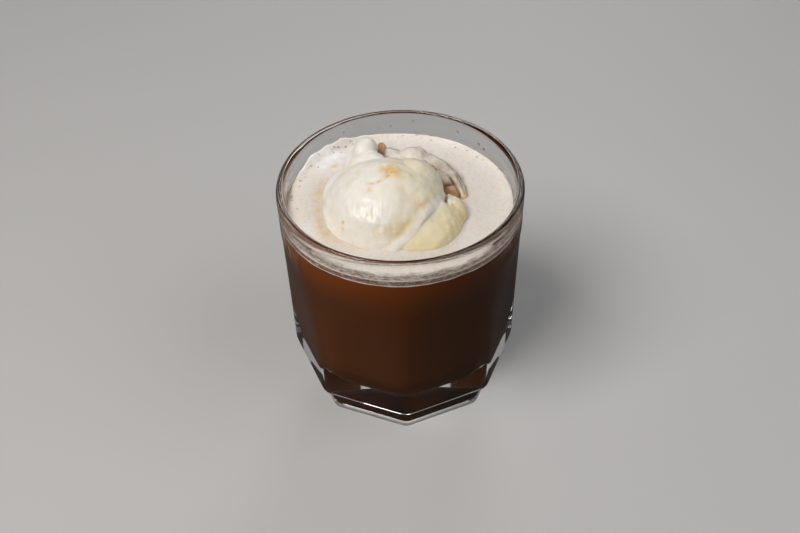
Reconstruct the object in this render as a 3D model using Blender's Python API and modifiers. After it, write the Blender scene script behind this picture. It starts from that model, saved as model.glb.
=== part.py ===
"""Affogato: one scoop of vanilla ice cream floating in milky coffee, in a heavy eight-sided tumbler.

The glass is pressed: eight flat panels ease upward into a round rim, outside and inside, and the
body steps in to a smaller eight-sided foot. The coffee fills the hollow up to a layer of pale
foam, and both are cut round the floating scoop. The origin is at the centre of the glass's base,
+Z is up, and one corner of the foot points toward -Y. Lengths are in metres.
"""
import math

import bmesh
import bpy
from mathutils import Matrix, Vector

MM = 0.001

# Glass, outside
RIM_RADIUS = 42.0 * MM
GLASS_HEIGHT = 86.4 * MM
LIP_THICKNESS = 2.0 * MM
FOOT_CORNER_RADIUS = 36.4 * MM
FOOT_EDGE_ROUNDING = 1.8 * MM
FOOT_HEIGHT = 8.0 * MM
SHOULDER_HEIGHT = 13.5 * MM
SHOULDER_CORNER_RADIUS = 40.9 * MM
SHOULDER_ROUNDING = 2.0 * MM

# Glass, hollow: a bowl-shaped floor below a wall that widens upward
HOLLOW_FLOOR = 11.5 * MM
HOLLOW_FLOOR_ROUNDING = 15.5 * MM
HOLLOW_FLOOR_INSET = 20.0 * MM
HOLLOW_FLOOR_CORNER_RADIUS = 33.8 * MM
HOLLOW_TOP_RADIUS = 38.5 * MM
HOLLOW_WALL_FOOT = HOLLOW_FLOOR + HOLLOW_FLOOR_ROUNDING

# Panels: a sharpness of 2 is a true circle, and 100 is nearly a sharp octagon
PANELS = 8
ROUND = 2.0
FOOT_SHARPNESS = 90.0
SHOULDER_SHARPNESS = 60.0
BODY_SHARPNESS = 32.0
NECK_SHARPNESS = 12.0
SHARPNESS_UP_THE_WALL = (
    (SHOULDER_HEIGHT, SHOULDER_SHARPNESS),
    (0.45 * GLASS_HEIGHT, BODY_SHARPNESS),
    (0.75 * GLASS_HEIGHT, NECK_SHARPNESS),
    (0.92 * GLASS_HEIGHT, ROUND),
)

# Filling
FOAM_LEVEL = 77.3 * MM
FOAM_DEPTH = 2.6 * MM
FOAM_EDGE_LIFT = 0.2 * MM
FOAM_BANK_LIFT = 2.8 * MM
FOAM_BANK_DIRECTION = math.radians(-137.0)
FOAM_BANK_SPREAD = math.radians(24.0)
FOAM_BANK_INSETS = ((1.0 * MM, 0.45), (2.5 * MM, 0.12), (4.5 * MM, 0.0))
GAP = 0.3 * MM

# Scoop: rounded lumps as (centre, radii, heading in degrees), in millimetres
BALL = ((-5.0, -5.5, 77.0), (21.5, 20.5, 17.0), 0.0)
SUNK_BODY = ((0.0, 1.0, 73.5), (23.5, 23.5, 8.2), 0.0)
LEFT_SHOULDER = ((-11.5, 3.2, 76.0), (15.6, 15.2, 9.8), 0.0)
BACK_SHOULDER = ((4.6, 0.5, 78.5), (12.4, 12.8, 13.8), 0.0)
FRONT_LOBE = ((5.5, -9.0, 76.5), (17.0, 18.0, 9.5), 0.0)
RIGHT_LOBE = ((16.5, -4.5, 77.0), (6.0, 9.5, 6.2), 0.0)
TALL_KNOB = ((-12.2, 21.0, 81.4), (4.9, 7.6, 6.2), -15.0)
BACK_KNOB = ((5.0, 21.5, 78.8), (5.6, 4.2, 3.9), 0.0)
LUMPS = (BALL, SUNK_BODY, LEFT_SHOULDER, BACK_SHOULDER, FRONT_LOBE, RIGHT_LOBE, TALL_KNOB, BACK_KNOB)

# Scoop: the curl behind the ball and the fold across its front, as (centre, radius) in millimetres
REAR_CURL = (
    ((8.0, 22.0, 78.4), 2.4),
    ((15.0, 16.5, 78.8), 2.6),
    ((18.8, 9.5, 78.8), 2.5),
    ((21.0, 2.0, 78.0), 2.2),
)
FRONT_FOLD = (
    ((11.0, -11.0, 86.3), 1.5),
    ((4.5, -20.5, 83.0), 2.2),
    ((-2.8, -24.6, 78.2), 1.8),
)
BEAD_SPACING = 0.7 * MM

# Fineness
RING_POINTS = 56
LIP_STEPS = 6
EDGE_STEPS = 3
FLOOR_STEPS = 5
WALL_SHARES = (0.0, 0.18, 0.36, 0.52, 0.68, 0.84, 1.0)
COFFEE_SHARES = (0.0, 0.3, 0.6, 0.8, 1.0)
SCOOP_VOXEL = 2.15 * MM
SCOOP_SMOOTHING = 2
ROOM_ROUND_SCOOP = 1.3 * GAP
SMOOTH_BELOW = math.radians(35.0)


def point_on_circle(radius, turn, height):
    """A point at the angle turn from -Y, counted toward +X."""
    return Vector((radius * math.sin(turn), -radius * math.cos(turn), height))


def ring_turns():
    return [2.0 * math.pi * step / RING_POINTS for step in range(RING_POINTS)]


def panel_radius(corner_radius, sharpness, turn):
    """Radius of a soft octagon whose corners reach corner_radius, one of them at turn 0."""
    def reach(angle):
        total = 0.0
        for side in range(PANELS):
            facing = (side + 0.5) * 2.0 * math.pi / PANELS
            total += max(0.0, math.cos(angle - facing)) ** sharpness
        return total
    return corner_radius * (reach(0.0) / reach(turn)) ** (1.0 / sharpness)


def ring(height, corner_radius, sharpness):
    """One closed ring of points round the glass."""
    return [
        point_on_circle(panel_radius(corner_radius, sharpness, turn), turn, height)
        for turn in ring_turns()
    ]


def quarter(start, end, steps):
    """(height, radius) along a quarter of an ellipse that leaves start flat and meets end upright."""
    stations = []
    for step in range(steps + 1):
        turn = 0.5 * math.pi * step / steps
        height = start[0] + (end[0] - start[0]) * (1.0 - math.cos(turn))
        radius = start[1] + (end[1] - start[1]) * math.sin(turn)
        stations.append((height, radius))
    return stations


def wall_sharpness(height):
    """The panels fade out upward: sharp at the shoulder, a true circle near the rim."""
    if height <= SHARPNESS_UP_THE_WALL[0][0]:
        return SHARPNESS_UP_THE_WALL[0][1]
    for (low, sharp_low), (high, sharp_high) in zip(SHARPNESS_UP_THE_WALL, SHARPNESS_UP_THE_WALL[1:]):
        if height <= high:
            share = (height - low) / (high - low)
            return sharp_low * (sharp_high / sharp_low) ** share
    return ROUND


def wall_station(low, high, share):
    """(height, corner radius, sharpness) at a share of the way up between two (height, radius) ends."""
    height = low[0] + (high[0] - low[0]) * share
    radius = low[1] + (high[1] - low[1]) * share
    return height, radius, wall_sharpness(height)


def outside_stations():
    """Up the outside: a foot with a rounded edge, the step out to the shoulder, and the body."""
    foot_edge = (0.0, FOOT_CORNER_RADIUS - FOOT_EDGE_ROUNDING)
    foot_side = (FOOT_EDGE_ROUNDING, FOOT_CORNER_RADIUS)
    ledge = (SHOULDER_HEIGHT - SHOULDER_ROUNDING, SHOULDER_CORNER_RADIUS - SHOULDER_ROUNDING)
    shoulder = (SHOULDER_HEIGHT, SHOULDER_CORNER_RADIUS)
    body_top = (GLASS_HEIGHT - LIP_THICKNESS, RIM_RADIUS)
    stations = [(*spot, FOOT_SHARPNESS) for spot in quarter(foot_edge, foot_side, EDGE_STEPS)]
    stations.append((FOOT_HEIGHT, FOOT_CORNER_RADIUS, FOOT_SHARPNESS))
    stations += [(*spot, SHOULDER_SHARPNESS) for spot in quarter(ledge, shoulder, EDGE_STEPS)[:-1]]
    stations += [wall_station(shoulder, body_top, share) for share in WALL_SHARES]
    return stations


def lip_stations():
    """The round lip, from the outside over the top to the inside."""
    stations = []
    middle = RIM_RADIUS - 0.5 * LIP_THICKNESS
    for step in range(1, LIP_STEPS + 1):
        turn = math.pi * step / LIP_STEPS
        radius = middle + 0.5 * LIP_THICKNESS * math.cos(turn)
        height = GLASS_HEIGHT - LIP_THICKNESS + LIP_THICKNESS * math.sin(turn)
        stations.append((height, radius, ROUND))
    return stations


def hollow_stations(top, shares):
    """Up the inside of the glass from the middle of its floor to the height top."""
    floor = (HOLLOW_FLOOR, HOLLOW_FLOOR_CORNER_RADIUS - HOLLOW_FLOOR_INSET)
    wall_foot = (HOLLOW_WALL_FOOT, HOLLOW_FLOOR_CORNER_RADIUS)
    wall_top = (FOAM_LEVEL, HOLLOW_TOP_RADIUS)
    reach = (top - HOLLOW_WALL_FOOT) / (FOAM_LEVEL - HOLLOW_WALL_FOOT)
    stations = [(*spot, SHOULDER_SHARPNESS) for spot in quarter(floor, wall_foot, FLOOR_STEPS)[:-1]]
    stations += [wall_station(wall_foot, wall_top, share * reach) for share in shares]
    return stations


def loft(name, rings):
    """A closed solid through rings of equal count, the first and last closed by flat caps."""
    bm = bmesh.new()
    rows = [[bm.verts.new(point) for point in points] for points in rings]
    for lower, upper in zip(rows, rows[1:]):
        for step in range(RING_POINTS):
            following = (step + 1) % RING_POINTS
            bm.faces.new((lower[step], lower[following], upper[following], upper[step]))
    bm.faces.new(list(reversed(rows[0])))
    bm.faces.new(rows[-1])
    bmesh.ops.recalc_face_normals(bm, faces=bm.faces)
    mesh = bpy.data.meshes.new(name)
    bm.to_mesh(mesh)
    bm.free()
    return mesh


def make_glass():
    inside = hollow_stations(FOAM_LEVEL, WALL_SHARES)
    stations = outside_stations() + lip_stations() + list(reversed(inside))
    return loft("glass", [ring(*station) for station in stations])


def make_coffee():
    """The coffee up to the foam, a gap inside the hollow's wall and above its floor."""
    rings = []
    for height, radius, sharpness in hollow_stations(FOAM_LEVEL - FOAM_DEPTH - GAP, COFFEE_SHARES):
        lift = GAP * max(0.0, HOLLOW_WALL_FOOT - height) / HOLLOW_FLOOR_ROUNDING
        rings.append(ring(height + lift, radius - GAP, sharpness))
    return loft("coffee", rings)


def foam_lift(turn):
    """How far the foam climbs the wall: a little all round, and a bank of it at the back left."""
    away = (turn - FOAM_BANK_DIRECTION + math.pi) % (2.0 * math.pi) - math.pi
    return FOAM_EDGE_LIFT + FOAM_BANK_LIFT * math.exp(-(away / FOAM_BANK_SPREAD) ** 2)


def foam_ring(inset, share):
    """A ring of the foam's top, inset from the wall and raised by a share of the lift there."""
    points = []
    for turn in ring_turns():
        radius = panel_radius(HOLLOW_TOP_RADIUS, wall_sharpness(FOAM_LEVEL), turn) - GAP - inset
        points.append(point_on_circle(radius, turn, FOAM_LEVEL + share * foam_lift(turn)))
    return points


def make_foam():
    """A disc of foam whose top climbs to the wall in its outer few millimetres."""
    height, radius, sharpness = hollow_stations(FOAM_LEVEL - FOAM_DEPTH, (1.0,))[-1]
    rings = [ring(height, radius - GAP, sharpness), foam_ring(0.0, 1.0)]
    rings += [foam_ring(inset, share) for inset, share in FOAM_BANK_INSETS]
    return loft("foam", rings)


def add_lump(bm, centre, radii, heading):
    """Add a closed ellipsoid to the mesh, turned about +Z by the heading."""
    turn = Matrix.Rotation(math.radians(heading), 4, "Z")
    size = Matrix.Diagonal((*(Vector(radii) * MM), 1.0))
    matrix = Matrix.Translation(Vector(centre) * MM) @ turn @ size
    bmesh.ops.create_uvsphere(bm, u_segments=32, v_segments=16, radius=1.0, matrix=matrix)


def add_bead(bm, route):
    """Add a chain of overlapping balls along the route."""
    for (start, thick_start), (end, thick_end) in zip(route, route[1:]):
        near, far = Vector(start) * MM, Vector(end) * MM
        count = math.ceil((far - near).length / BEAD_SPACING)
        for step in range(count + 1):
            share = step / count
            radius = (thick_start + (thick_end - thick_start) * share) * MM
            matrix = Matrix.Translation(near.lerp(far, share)) @ Matrix.Scale(radius, 4)
            bmesh.ops.create_icosphere(bm, subdivisions=2, radius=1.0, matrix=matrix)


def make_scoop():
    """Fuse the scoop's lumps into one skin and soften its creases."""
    bm = bmesh.new()
    for lump in LUMPS:
        add_lump(bm, *lump)
    add_bead(bm, REAR_CURL)
    add_bead(bm, FRONT_FOLD)
    mesh = bpy.data.meshes.new("scoop_lumps")
    bm.to_mesh(mesh)
    bm.free()
    lumps = bpy.data.objects.new("scoop_lumps", mesh)
    bpy.context.scene.collection.objects.link(lumps)
    fuse = lumps.modifiers.new("fuse", "REMESH")
    fuse.mode = "VOXEL"
    fuse.voxel_size = SCOOP_VOXEL
    soften = lumps.modifiers.new("soften", "SMOOTH")
    soften.factor = 0.5
    soften.iterations = SCOOP_SMOOTHING
    graph = bpy.context.evaluated_depsgraph_get()
    scoop = bpy.data.meshes.new_from_object(lumps.evaluated_get(graph))
    scoop.name = "ice_cream"
    bpy.data.objects.remove(lumps)
    return scoop


def grown(mesh, distance):
    """A copy of a mesh with every point pushed out along its normal."""
    copy = mesh.copy()
    bm = bmesh.new()
    bm.from_mesh(copy)
    bm.normal_update()
    for vert in bm.verts:
        vert.co += vert.normal * distance
    bm.to_mesh(copy)
    bm.free()
    return copy


def make_material(name, color, roughness, transmission=0.0, ior=1.5):
    material = bpy.data.materials.new(name)
    material.use_nodes = True
    shader = material.node_tree.nodes["Principled BSDF"]
    shader.inputs["Base Color"].default_value = (*color, 1.0)
    shader.inputs["Roughness"].default_value = roughness
    shader.inputs["Metallic"].default_value = 0.0
    shader.inputs["Transmission Weight"].default_value = transmission
    shader.inputs["IOR"].default_value = ior
    material.diffuse_color = (*color, 1.0)
    return material


def add_part(mesh, collection, material):
    """Place a finished mesh as an object of its own name, smooth apart from its true edges."""
    mesh.materials.clear()
    mesh.materials.append(material)
    mesh.shade_smooth()
    mesh.set_sharp_from_angle(angle=SMOOTH_BELOW)
    item = bpy.data.objects.new(mesh.name, mesh)
    collection.objects.link(item)
    return item


def add_cutter(name, mesh, collection):
    cutter = bpy.data.objects.new(name, mesh)
    cutter.hide_render = True
    cutter.display_type = "WIRE"
    collection.objects.link(cutter)
    return cutter


def cut(item, cutter):
    boolean = item.modifiers.new("cut round the scoop", "BOOLEAN")
    boolean.operation = "DIFFERENCE"
    boolean.solver = "EXACT"
    boolean.object = cutter


def main():
    for item in list(bpy.data.objects):
        bpy.data.objects.remove(item)
    parts = bpy.data.collections.new("affogato")
    cutters = bpy.data.collections.new("cutters")
    bpy.context.scene.collection.children.link(parts)
    bpy.context.scene.collection.children.link(cutters)

    clear = make_material("clear glass", (0.95, 0.97, 0.98), 0.03, transmission=1.0, ior=1.52)
    brown = make_material("milky coffee", (0.24, 0.10, 0.03), 0.25)
    cream = make_material("pale foam", (0.75, 0.66, 0.54), 0.55)
    vanilla = make_material("vanilla ice cream", (0.86, 0.79, 0.62), 0.35)

    scoop = make_scoop()
    room = add_cutter("room_for_scoop", grown(scoop, ROOM_ROUND_SCOOP), cutters)
    add_part(make_glass(), parts, clear)
    cut(add_part(make_coffee(), parts, brown), room)
    cut(add_part(make_foam(), parts, cream), room)
    add_part(scoop, parts, vanilla)


if __name__ == "__main__":
    main()
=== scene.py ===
"""Affogato Builder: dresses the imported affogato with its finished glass, coffee, foam and ice cream.

Each operator builds one piece, or one kind of small piece, at its true place in the part's frame.
Lengths are in metres, +Z is up, and -Y points toward the viewer, through a corner of the foot.
A turn is an angle round the glass, counted from -Y toward +X.
"""

import math
import random

import bmesh
import bpy
import numpy as np
from bpy.props import FloatProperty, FloatVectorProperty, IntProperty, PointerProperty
from mathutils import Matrix, Vector, noise
from mathutils.bvhtree import BVHTree


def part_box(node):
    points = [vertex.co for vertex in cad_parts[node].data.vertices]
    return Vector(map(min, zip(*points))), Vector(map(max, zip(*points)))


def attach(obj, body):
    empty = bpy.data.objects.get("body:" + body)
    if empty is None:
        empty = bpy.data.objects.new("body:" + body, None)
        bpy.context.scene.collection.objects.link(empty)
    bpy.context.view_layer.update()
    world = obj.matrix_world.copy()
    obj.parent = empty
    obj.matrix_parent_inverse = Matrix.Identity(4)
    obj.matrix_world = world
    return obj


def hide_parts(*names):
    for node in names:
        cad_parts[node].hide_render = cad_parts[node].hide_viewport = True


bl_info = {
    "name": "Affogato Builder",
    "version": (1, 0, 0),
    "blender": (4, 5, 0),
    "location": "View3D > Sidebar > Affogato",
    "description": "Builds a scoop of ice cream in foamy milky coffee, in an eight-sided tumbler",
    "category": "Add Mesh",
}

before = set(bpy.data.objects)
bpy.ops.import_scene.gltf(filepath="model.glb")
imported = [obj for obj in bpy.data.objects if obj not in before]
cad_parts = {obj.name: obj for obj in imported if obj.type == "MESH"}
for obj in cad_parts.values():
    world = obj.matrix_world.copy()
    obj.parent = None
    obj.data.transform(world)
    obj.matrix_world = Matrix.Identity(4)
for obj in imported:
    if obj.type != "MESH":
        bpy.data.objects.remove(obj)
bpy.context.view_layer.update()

GLASS_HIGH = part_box("glass")[1]
FOAM_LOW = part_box("foam")[0]

MM = 0.001
BODY = "root"

# Glass, outside: a set-back foot, the step out to the shoulder, the body and the rounded lip
GLASS_TOP = GLASS_HIGH.z
FOOT_CORNER_RADIUS = 36.4 * MM
FOOT_EDGE_ROUNDING = 1.8 * MM
FOOT_HEIGHT = 8.0 * MM
SHOULDER_HEIGHT = 13.5 * MM
SHOULDER_CORNER_RADIUS = 40.9 * MM
SHOULDER_ROUNDING = 2.0 * MM
# The lip is 0.6 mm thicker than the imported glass's, because the rim looks so
LIP_THICKNESS = 2.6 * MM
LIP_STEPS = 16

# Glass, underside: a ring to stand on, round a shallow recess
FOOT_RING_WIDTH = 3.0 * MM
FOOT_RECESS = 0.7 * MM
RECESS_SHARES = (0.3, 0.6, 0.9, 0.985, 1.0)
# Rings of points close to an edge keep it crisp under smooth shading
RING_HOLD = 0.3 * MM
STEP_HOLD = 0.4 * MM

# Glass, hollow: a bowl-shaped floor below a wall that widens upward
HOLLOW_FLOOR = 11.5 * MM
HOLLOW_FLOOR_ROUNDING = 15.5 * MM
HOLLOW_FLOOR_INSET = 20.0 * MM
HOLLOW_FLOOR_CORNER_RADIUS = 33.8 * MM
HOLLOW_TOP_RADIUS = 38.5 * MM
HOLLOW_WALL_FOOT = HOLLOW_FLOOR + HOLLOW_FLOOR_ROUNDING

# Panels: a sharpness of 2 is a true circle, and 100 is nearly a sharp octagon
PANELS = 8
ROUND = 2.0
FOOT_SHARPNESS = 90.0
SHOULDER_SHARPNESS = 60.0
BODY_SHARPNESS = 32.0
NECK_SHARPNESS = 12.0
SHARPNESS_UP_THE_WALL = (
    (SHOULDER_HEIGHT, SHOULDER_SHARPNESS),
    (0.45 * GLASS_TOP, BODY_SHARPNESS),
    (0.75 * GLASS_TOP, NECK_SHARPNESS),
    (0.92 * GLASS_TOP, ROUND),
)

# Drink: it wets the wall, so it reaches just into the glass
WALL_WETTING = 0.15 * MM
FOAM_WETTING = WALL_WETTING + 0.02 * MM
COFFEE_OVERLAP = 0.1 * MM
SCOOP_OVERLAP = 0.25 * MM
FOAM_LEVEL = 77.3 * MM
FOAM_BOTTOM = FOAM_LOW.z
FOAM_EDGE_LIFT = 0.2 * MM
FOAM_BANK_LIFT = 2.8 * MM
FOAM_BANK_DIRECTION = math.radians(-137.0)
FOAM_BANK_SPREAD = math.radians(24.0)
FOAM_CLIMB = 1.6 * MM
EDGE_INSETS = (0.0, 0.12, 0.3, 0.55, 0.85, 1.2, 1.6)

# Film that the foam has left on the wall: its height above the foam in millimetres, by turn in degrees
FILM_REACH = (
    (-180.0, 0.7),
    (-150.0, 0.8),
    (-110.0, 1.8),
    (-90.0, 4.2),
    (-62.0, 5.2),
    (-42.0, 4.6),
    (-25.0, 4.2),
    (0.0, 3.8),
    (30.0, 3.8),
    (52.0, 3.8),
    (75.0, 3.4),
    (100.0, 1.2),
    (140.0, 0.6),
    (180.0, 0.7),
)
FILM_STEPS = 12
FILM_TUCK = 0.3 * MM
FILM_THICKNESS = 0.12 * MM

# Scoop: rounded lumps as (centre, radii, heading in degrees), in millimetres
LUMPS = {
    "ball": ((-5.0, -5.5, 77.0), (21.5, 20.5, 17.0), 0.0),
    "sunk body": ((0.0, 1.0, 72.5), (23.5, 23.5, 8.2), 0.0),
    "left shoulder": ((-11.5, 3.2, 76.0), (15.6, 15.2, 9.8), 0.0),
    "back shoulder": ((3.4, 0.5, 78.5), (11.9, 12.8, 13.6), 0.0),
    "front lobe": ((5.5, -10.0, 76.5), (15.8, 17.0, 9.3), 0.0),
    "right lobe": ((16.3, -8.3, 77.0), (6.1, 8.0, 5.6), 0.0),
    "tall knob": ((-12.0, 21.3, 82.0), (4.3, 6.2, 5.4), -15.0),
    "tall knob's foot": ((-13.2, 20.5, 78.4), (6.0, 8.6, 4.8), -15.0),
    "neck to the tall knob": ((-11.0, 11.8, 80.2), (8.0, 10.2, 6.3), -8.0),
    "apron round the tall knob": ((-14.0, 20.0, 77.0), (6.0, 12.0, 3.0), -14.0),
    "small knob's left neighbour": ((-3.0, 21.5, 78.3), (4.3, 6.4, 3.2), 0.0),
    "small knob's foot": ((1.0, 19.5, 78.0), (6.5, 6.0, 3.0), 0.0),
    "small knob": ((5.0, 22.2, 78.8), (5.2, 4.6, 3.9), 0.0),
    "floor inside the curl": ((12.0, 11.5, 76.6), (9.0, 11.0, 2.7), 30.0),
    "lump inside the curl": ((14.8, 8.8, 79.0), (2.9, 5.2, 2.3), 35.0),
}
# The curl behind the ball and the fold across its front, as (centre, radius) stops, in millimetres
REAR_CURL = (
    ((8.0, 22.0, 78.3), 2.6),
    ((14.4, 16.2, 78.4), 3.2),
    ((18.0, 9.5, 78.3), 3.2),
    ((21.4, 2.4, 76.6), 1.9),
)
FRONT_FOLD = (
    ((10.6, -12.8, 84.4), 0.8),
    ((8.8, -15.4, 84.8), 1.1),
    ((4.4, -20.4, 82.5), 1.4),
    ((-2.8, -24.2, 77.6), 1.0),
)
BEAD_SPACING = 0.5 * MM

# Routes over the scoop's surface, in millimetres
FOLD_ROUTE = ((11.8, -12.2, 86.3), (7.5, -17.7, 86.0), (3.7, -22.3, 83.8), (-3.3, -26.1, 78.0))
MELT_ROUTE = (
    (-2.7, -3.6, 93.6),
    (-3.7, -6.6, 93.7),
    (-5.5, -8.9, 93.5),
    (-7.8, -9.9, 93.2),
    (-10.4, -9.6, 92.7),
)
# Golden melted spots and fainter hazes, as (centre, radius), and how strong each kind is
SPOT_STRENGTH = 1.0
MELT_SPOTS = (
    ((-3.6, -2.8, 93.6), 3.0),
    ((-2.6, -5.4, 93.6), 2.2),
    ((-10.2, -12.3, 92.4), 0.8),
    ((-19.0, -18.2, 83.9), 0.6),
    ((-19.1, -18.8, 83.0), 0.6),
    ((-19.1, -19.4, 82.1), 0.6),
)
HAZE_STRENGTH = 0.38
MELT_HAZES = (
    ((-7.5, -23.4, 83.8), 2.2),
    ((-3.4, -23.6, 84.0), 2.4),
    ((0.5, -22.5, 85.0), 2.6),
    ((4.5, 2.5, 91.4), 1.8),
    ((1.0, -5.0, 92.5), 2.4),
    ((6.0, -15.0, 88.0), 2.4),
)
DRIP_ROUTE = ((15.4, 1.5, 80.0), (15.3, -2.4, 81.4), (15.2, -6.4, 82.6), (15.1, -8.8, 83.4))
CLEFT_ROUTE = ((-6.3, 31.5, 78.2), (-6.6, 27.0, 79.6), (-6.6, 22.5, 81.0), (-6.4, 20.5, 82.0))
# Lines of coffee and painted shade in the scoop's creases: height, stops seen from above, half width and
# strength
COFFEE_AND_SHADE_LINES = (
    (78.6, ((-16.4, 32.9), (-17.6, 28.6), (-18.7, 25.1), (-20.0, 21.0), (-20.8, 17.6)), 0.60, 0.30),
    (80.5, ((8.7, 17.8), (11.0, 15.3), (12.6, 9.9), (13.9, 4.2), (14.6, -1.0)), 0.55, 0.75),
    (80.3, ((11.7, 15.0), (13.0, 12.7), (15.4, 11.0), (17.2, 8.5), (18.5, 4.3), (19.3, 0.2)), 0.45, 0.65),
    (82.0, ((0.2, 16.8), (6.2, 15.9), (9.0, 15.8)), 0.40, 0.35),
    (82.0, ((-2.2, 20.1), (0.9, 16.1)), 0.50, 0.40),
    (80.6, ((-4.6, 26.5), (-2.5, 25.2), (0.0, 24.2)), 0.80, 0.70),
    (80.8, ((1.1, 25.4), (3.2, 25.8), (5.4, 25.6), (8.1, 22.6), (9.8, 20.2)), 0.50, 0.70),
    (
        80.2,
        (
            (10.6, 21.6), (12.0, 21.5), (14.0, 19.6), (16.4, 16.6),
            (18.0, 13.7), (19.5, 9.9), (21.3, 5.7), (22.8, 1.5),
        ),
        0.50,
        0.70,
    ),
)
WET_CENTRE = Vector((-9.0, -20.5, 87.5)) * MM
WET_REACH = (7.0, 8.0, 7.5)
POOL_CENTRE = Vector((16.8, 3.2, 79.0)) * MM
POOL_REACH = (3.0, 4.6, 2.2)

# Thin pools of coffee: centre and radii in millimetres, and heading in degrees
POOLS = (
    ((16.9, 3.0, 78.9), (3.0, 4.8, 0.8), 25.0),
    ((-6.0, 28.6, 77.55), (1.9, 5.0, 0.5), 6.0),
    ((-1.9, 28.0, 77.5), (3.6, 0.9, 0.3), -22.0),
)

# Bigger bubbles on the foam: place and size, in millimetres
BUBBLE_PLACES = (
    (-27.7, 28.6, 0.45),
    (-23.4, 29.6, 0.50),
    (-22.0, 30.1, 0.55),
    (-19.3, 30.9, 0.50),
    (-28.7, 25.1, 0.35),
    (-28.9, 19.8, 0.35),
    (-37.3, 3.9, 0.40),
    (-37.2, 1.7, 0.35),
    (20.3, 29.4, 0.40),
    (27.8, 23.6, 0.40),
    (-26.0, 30.9, 0.40),
    (-20.9, 28.3, 0.30),
    (-34.8, 9.3, 0.30),
    (-35.3, -2.7, 0.30),
)
# How many of the scattered bubbles lie by the foam's bank, and how close the scoop may be to any
BUBBLES_BY_THE_BANK = 0.8
CLEAR_OF_THE_SCOOP = 1.2 * MM
# Pinholes lie all over the foam, and nearly half of them in clusters: turn and spread in degrees
CLUSTERED_PINHOLES = 0.45
PINHOLE_CLUSTERS = ((75.0, 8.0), (-78.0, 10.0), (-96.0, 12.0))

# Bigger droplets on the wall, as (turn in degrees, height in millimetres)
DROPLET_PLACES = ((172.0, 82.6), (-176.0, 80.6), (-150.0, 82.0), (147.0, 81.5), (133.0, 80.5), (129.0, 79.8))
BIG_DROPLET = 0.5 * MM

# Camera: fitted to the outlines of the rim, the sides and the foot, for a lens of 50 mm
CAMERA_AIM = Vector((-0.83, 0.0, 46.7)) * MM
CAMERA_DISTANCE = 401.0 * MM
CAMERA_RISE = math.radians(42.66)
CAMERA_LEAN = math.radians(1.62)
CAMERA_LENS = 50.0
SENSOR_WIDTH = 36.0

# Stage
FLOOR_REACH = 14.0
STUDIO_GREY = (0.40, 0.395, 0.39)
BLACK = (0.0, 0.0, 0.0)


def srgb(red, green, blue):
    """The linear colour of a display colour given from 0 to 255."""
    shares = [value / 255.0 for value in (red, green, blue)]
    return tuple(share / 12.92 if share <= 0.04045 else ((share + 0.055) / 1.055) ** 2.4 for share in shares)


# Settings


class GlassSettings(bpy.types.PropertyGroup):
    """Sizes and finish of the tumbler."""

    rim_radius: FloatProperty(
        name="Rim radius", description="Outer radius of the round rim",
        default=GLASS_HIGH.x, min=0.02, max=0.08, unit="LENGTH",
    )
    ring_points: IntProperty(
        name="Ring points", description="Points round the glass", default=320, min=64, max=512,
    )
    tint: FloatVectorProperty(
        name="Tint", description="Colour of light that has passed through the glass",
        subtype="COLOR", size=3, min=0.0, max=1.0, default=(0.985, 0.992, 0.99),
    )
    refraction: FloatProperty(
        name="Refraction", description="Index of refraction of the glass", default=1.5, min=1.3, max=1.8,
    )


class DrinkSettings(bpy.types.PropertyGroup):
    """Colours and sizes of the coffee and its foam."""

    coffee_color: FloatVectorProperty(
        name="Coffee", description="Colour of the milky coffee", subtype="COLOR", size=3,
        min=0.0, max=1.0, default=srgb(76, 39, 11),
    )
    # Painted glow: the coffee just below the foam is coloured warmer, as if lit through the foam.
    coffee_glow_color: FloatVectorProperty(
        name="Coffee under the foam", description="Colour of the coffee just below the foam",
        subtype="COLOR", size=3, min=0.0, max=1.0, default=srgb(102, 49, 9),
    )
    foam_color: FloatVectorProperty(
        name="Foam", description="Colour of the milk foam", subtype="COLOR", size=3,
        min=0.0, max=1.0, default=srgb(212, 204, 196),
    )
    streak_color: FloatVectorProperty(
        name="Streaks", description="Colour of the streaks in the foam's side", subtype="COLOR", size=3,
        min=0.0, max=1.0, default=srgb(106, 74, 58),
    )
    foam_ring_points: IntProperty(
        name="Foam ring points", description="Points round the foam", default=400, min=64, max=640,
    )
    foam_step: FloatProperty(
        name="Foam step", description="Distance between the rings of the foam's top",
        default=0.5 * MM, min=0.2 * MM, max=3.0 * MM, unit="LENGTH",
    )


class ScoopSettings(bpy.types.PropertyGroup):
    """Colours and fineness of the ice cream."""

    voxel: FloatProperty(
        name="Voxel", description="Size of the grid that fuses the lumps",
        default=0.45 * MM, min=0.25 * MM, max=3.0 * MM, unit="LENGTH",
    )
    cream_color: FloatVectorProperty(
        name="Cream", description="Colour of the whiter ice cream", subtype="COLOR", size=3,
        min=0.0, max=1.0, default=srgb(241, 235, 226),
    )
    vanilla_color: FloatVectorProperty(
        name="Vanilla", description="Colour of the yellower ice cream", subtype="COLOR", size=3,
        min=0.0, max=1.0, default=srgb(222, 207, 164),
    )
    melt_color: FloatVectorProperty(
        name="Melt", description="Colour of the golden melted patches", subtype="COLOR", size=3,
        min=0.0, max=1.0, default=srgb(222, 184, 120),
    )
    # Also the painted shade in the creases and along the lines behind the ball.
    coffee_color: FloatVectorProperty(
        name="Coffee stain", description="Colour of the coffee in the creases", subtype="COLOR", size=3,
        min=0.0, max=1.0, default=srgb(122, 82, 52),
    )


class SmallSettings(bpy.types.PropertyGroup):
    """Counts of the small scattered pieces."""

    pinholes: IntProperty(
        name="Pinholes", description="Pinholes in the foam", default=150, min=0, max=2000,
    )
    bubbles: IntProperty(
        name="Bubbles", description="Bubbles along the foam's edge", default=34, min=0, max=2000,
    )
    droplets: IntProperty(
        name="Droplets", description="Droplets on the wall", default=26, min=0, max=400,
    )


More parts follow.
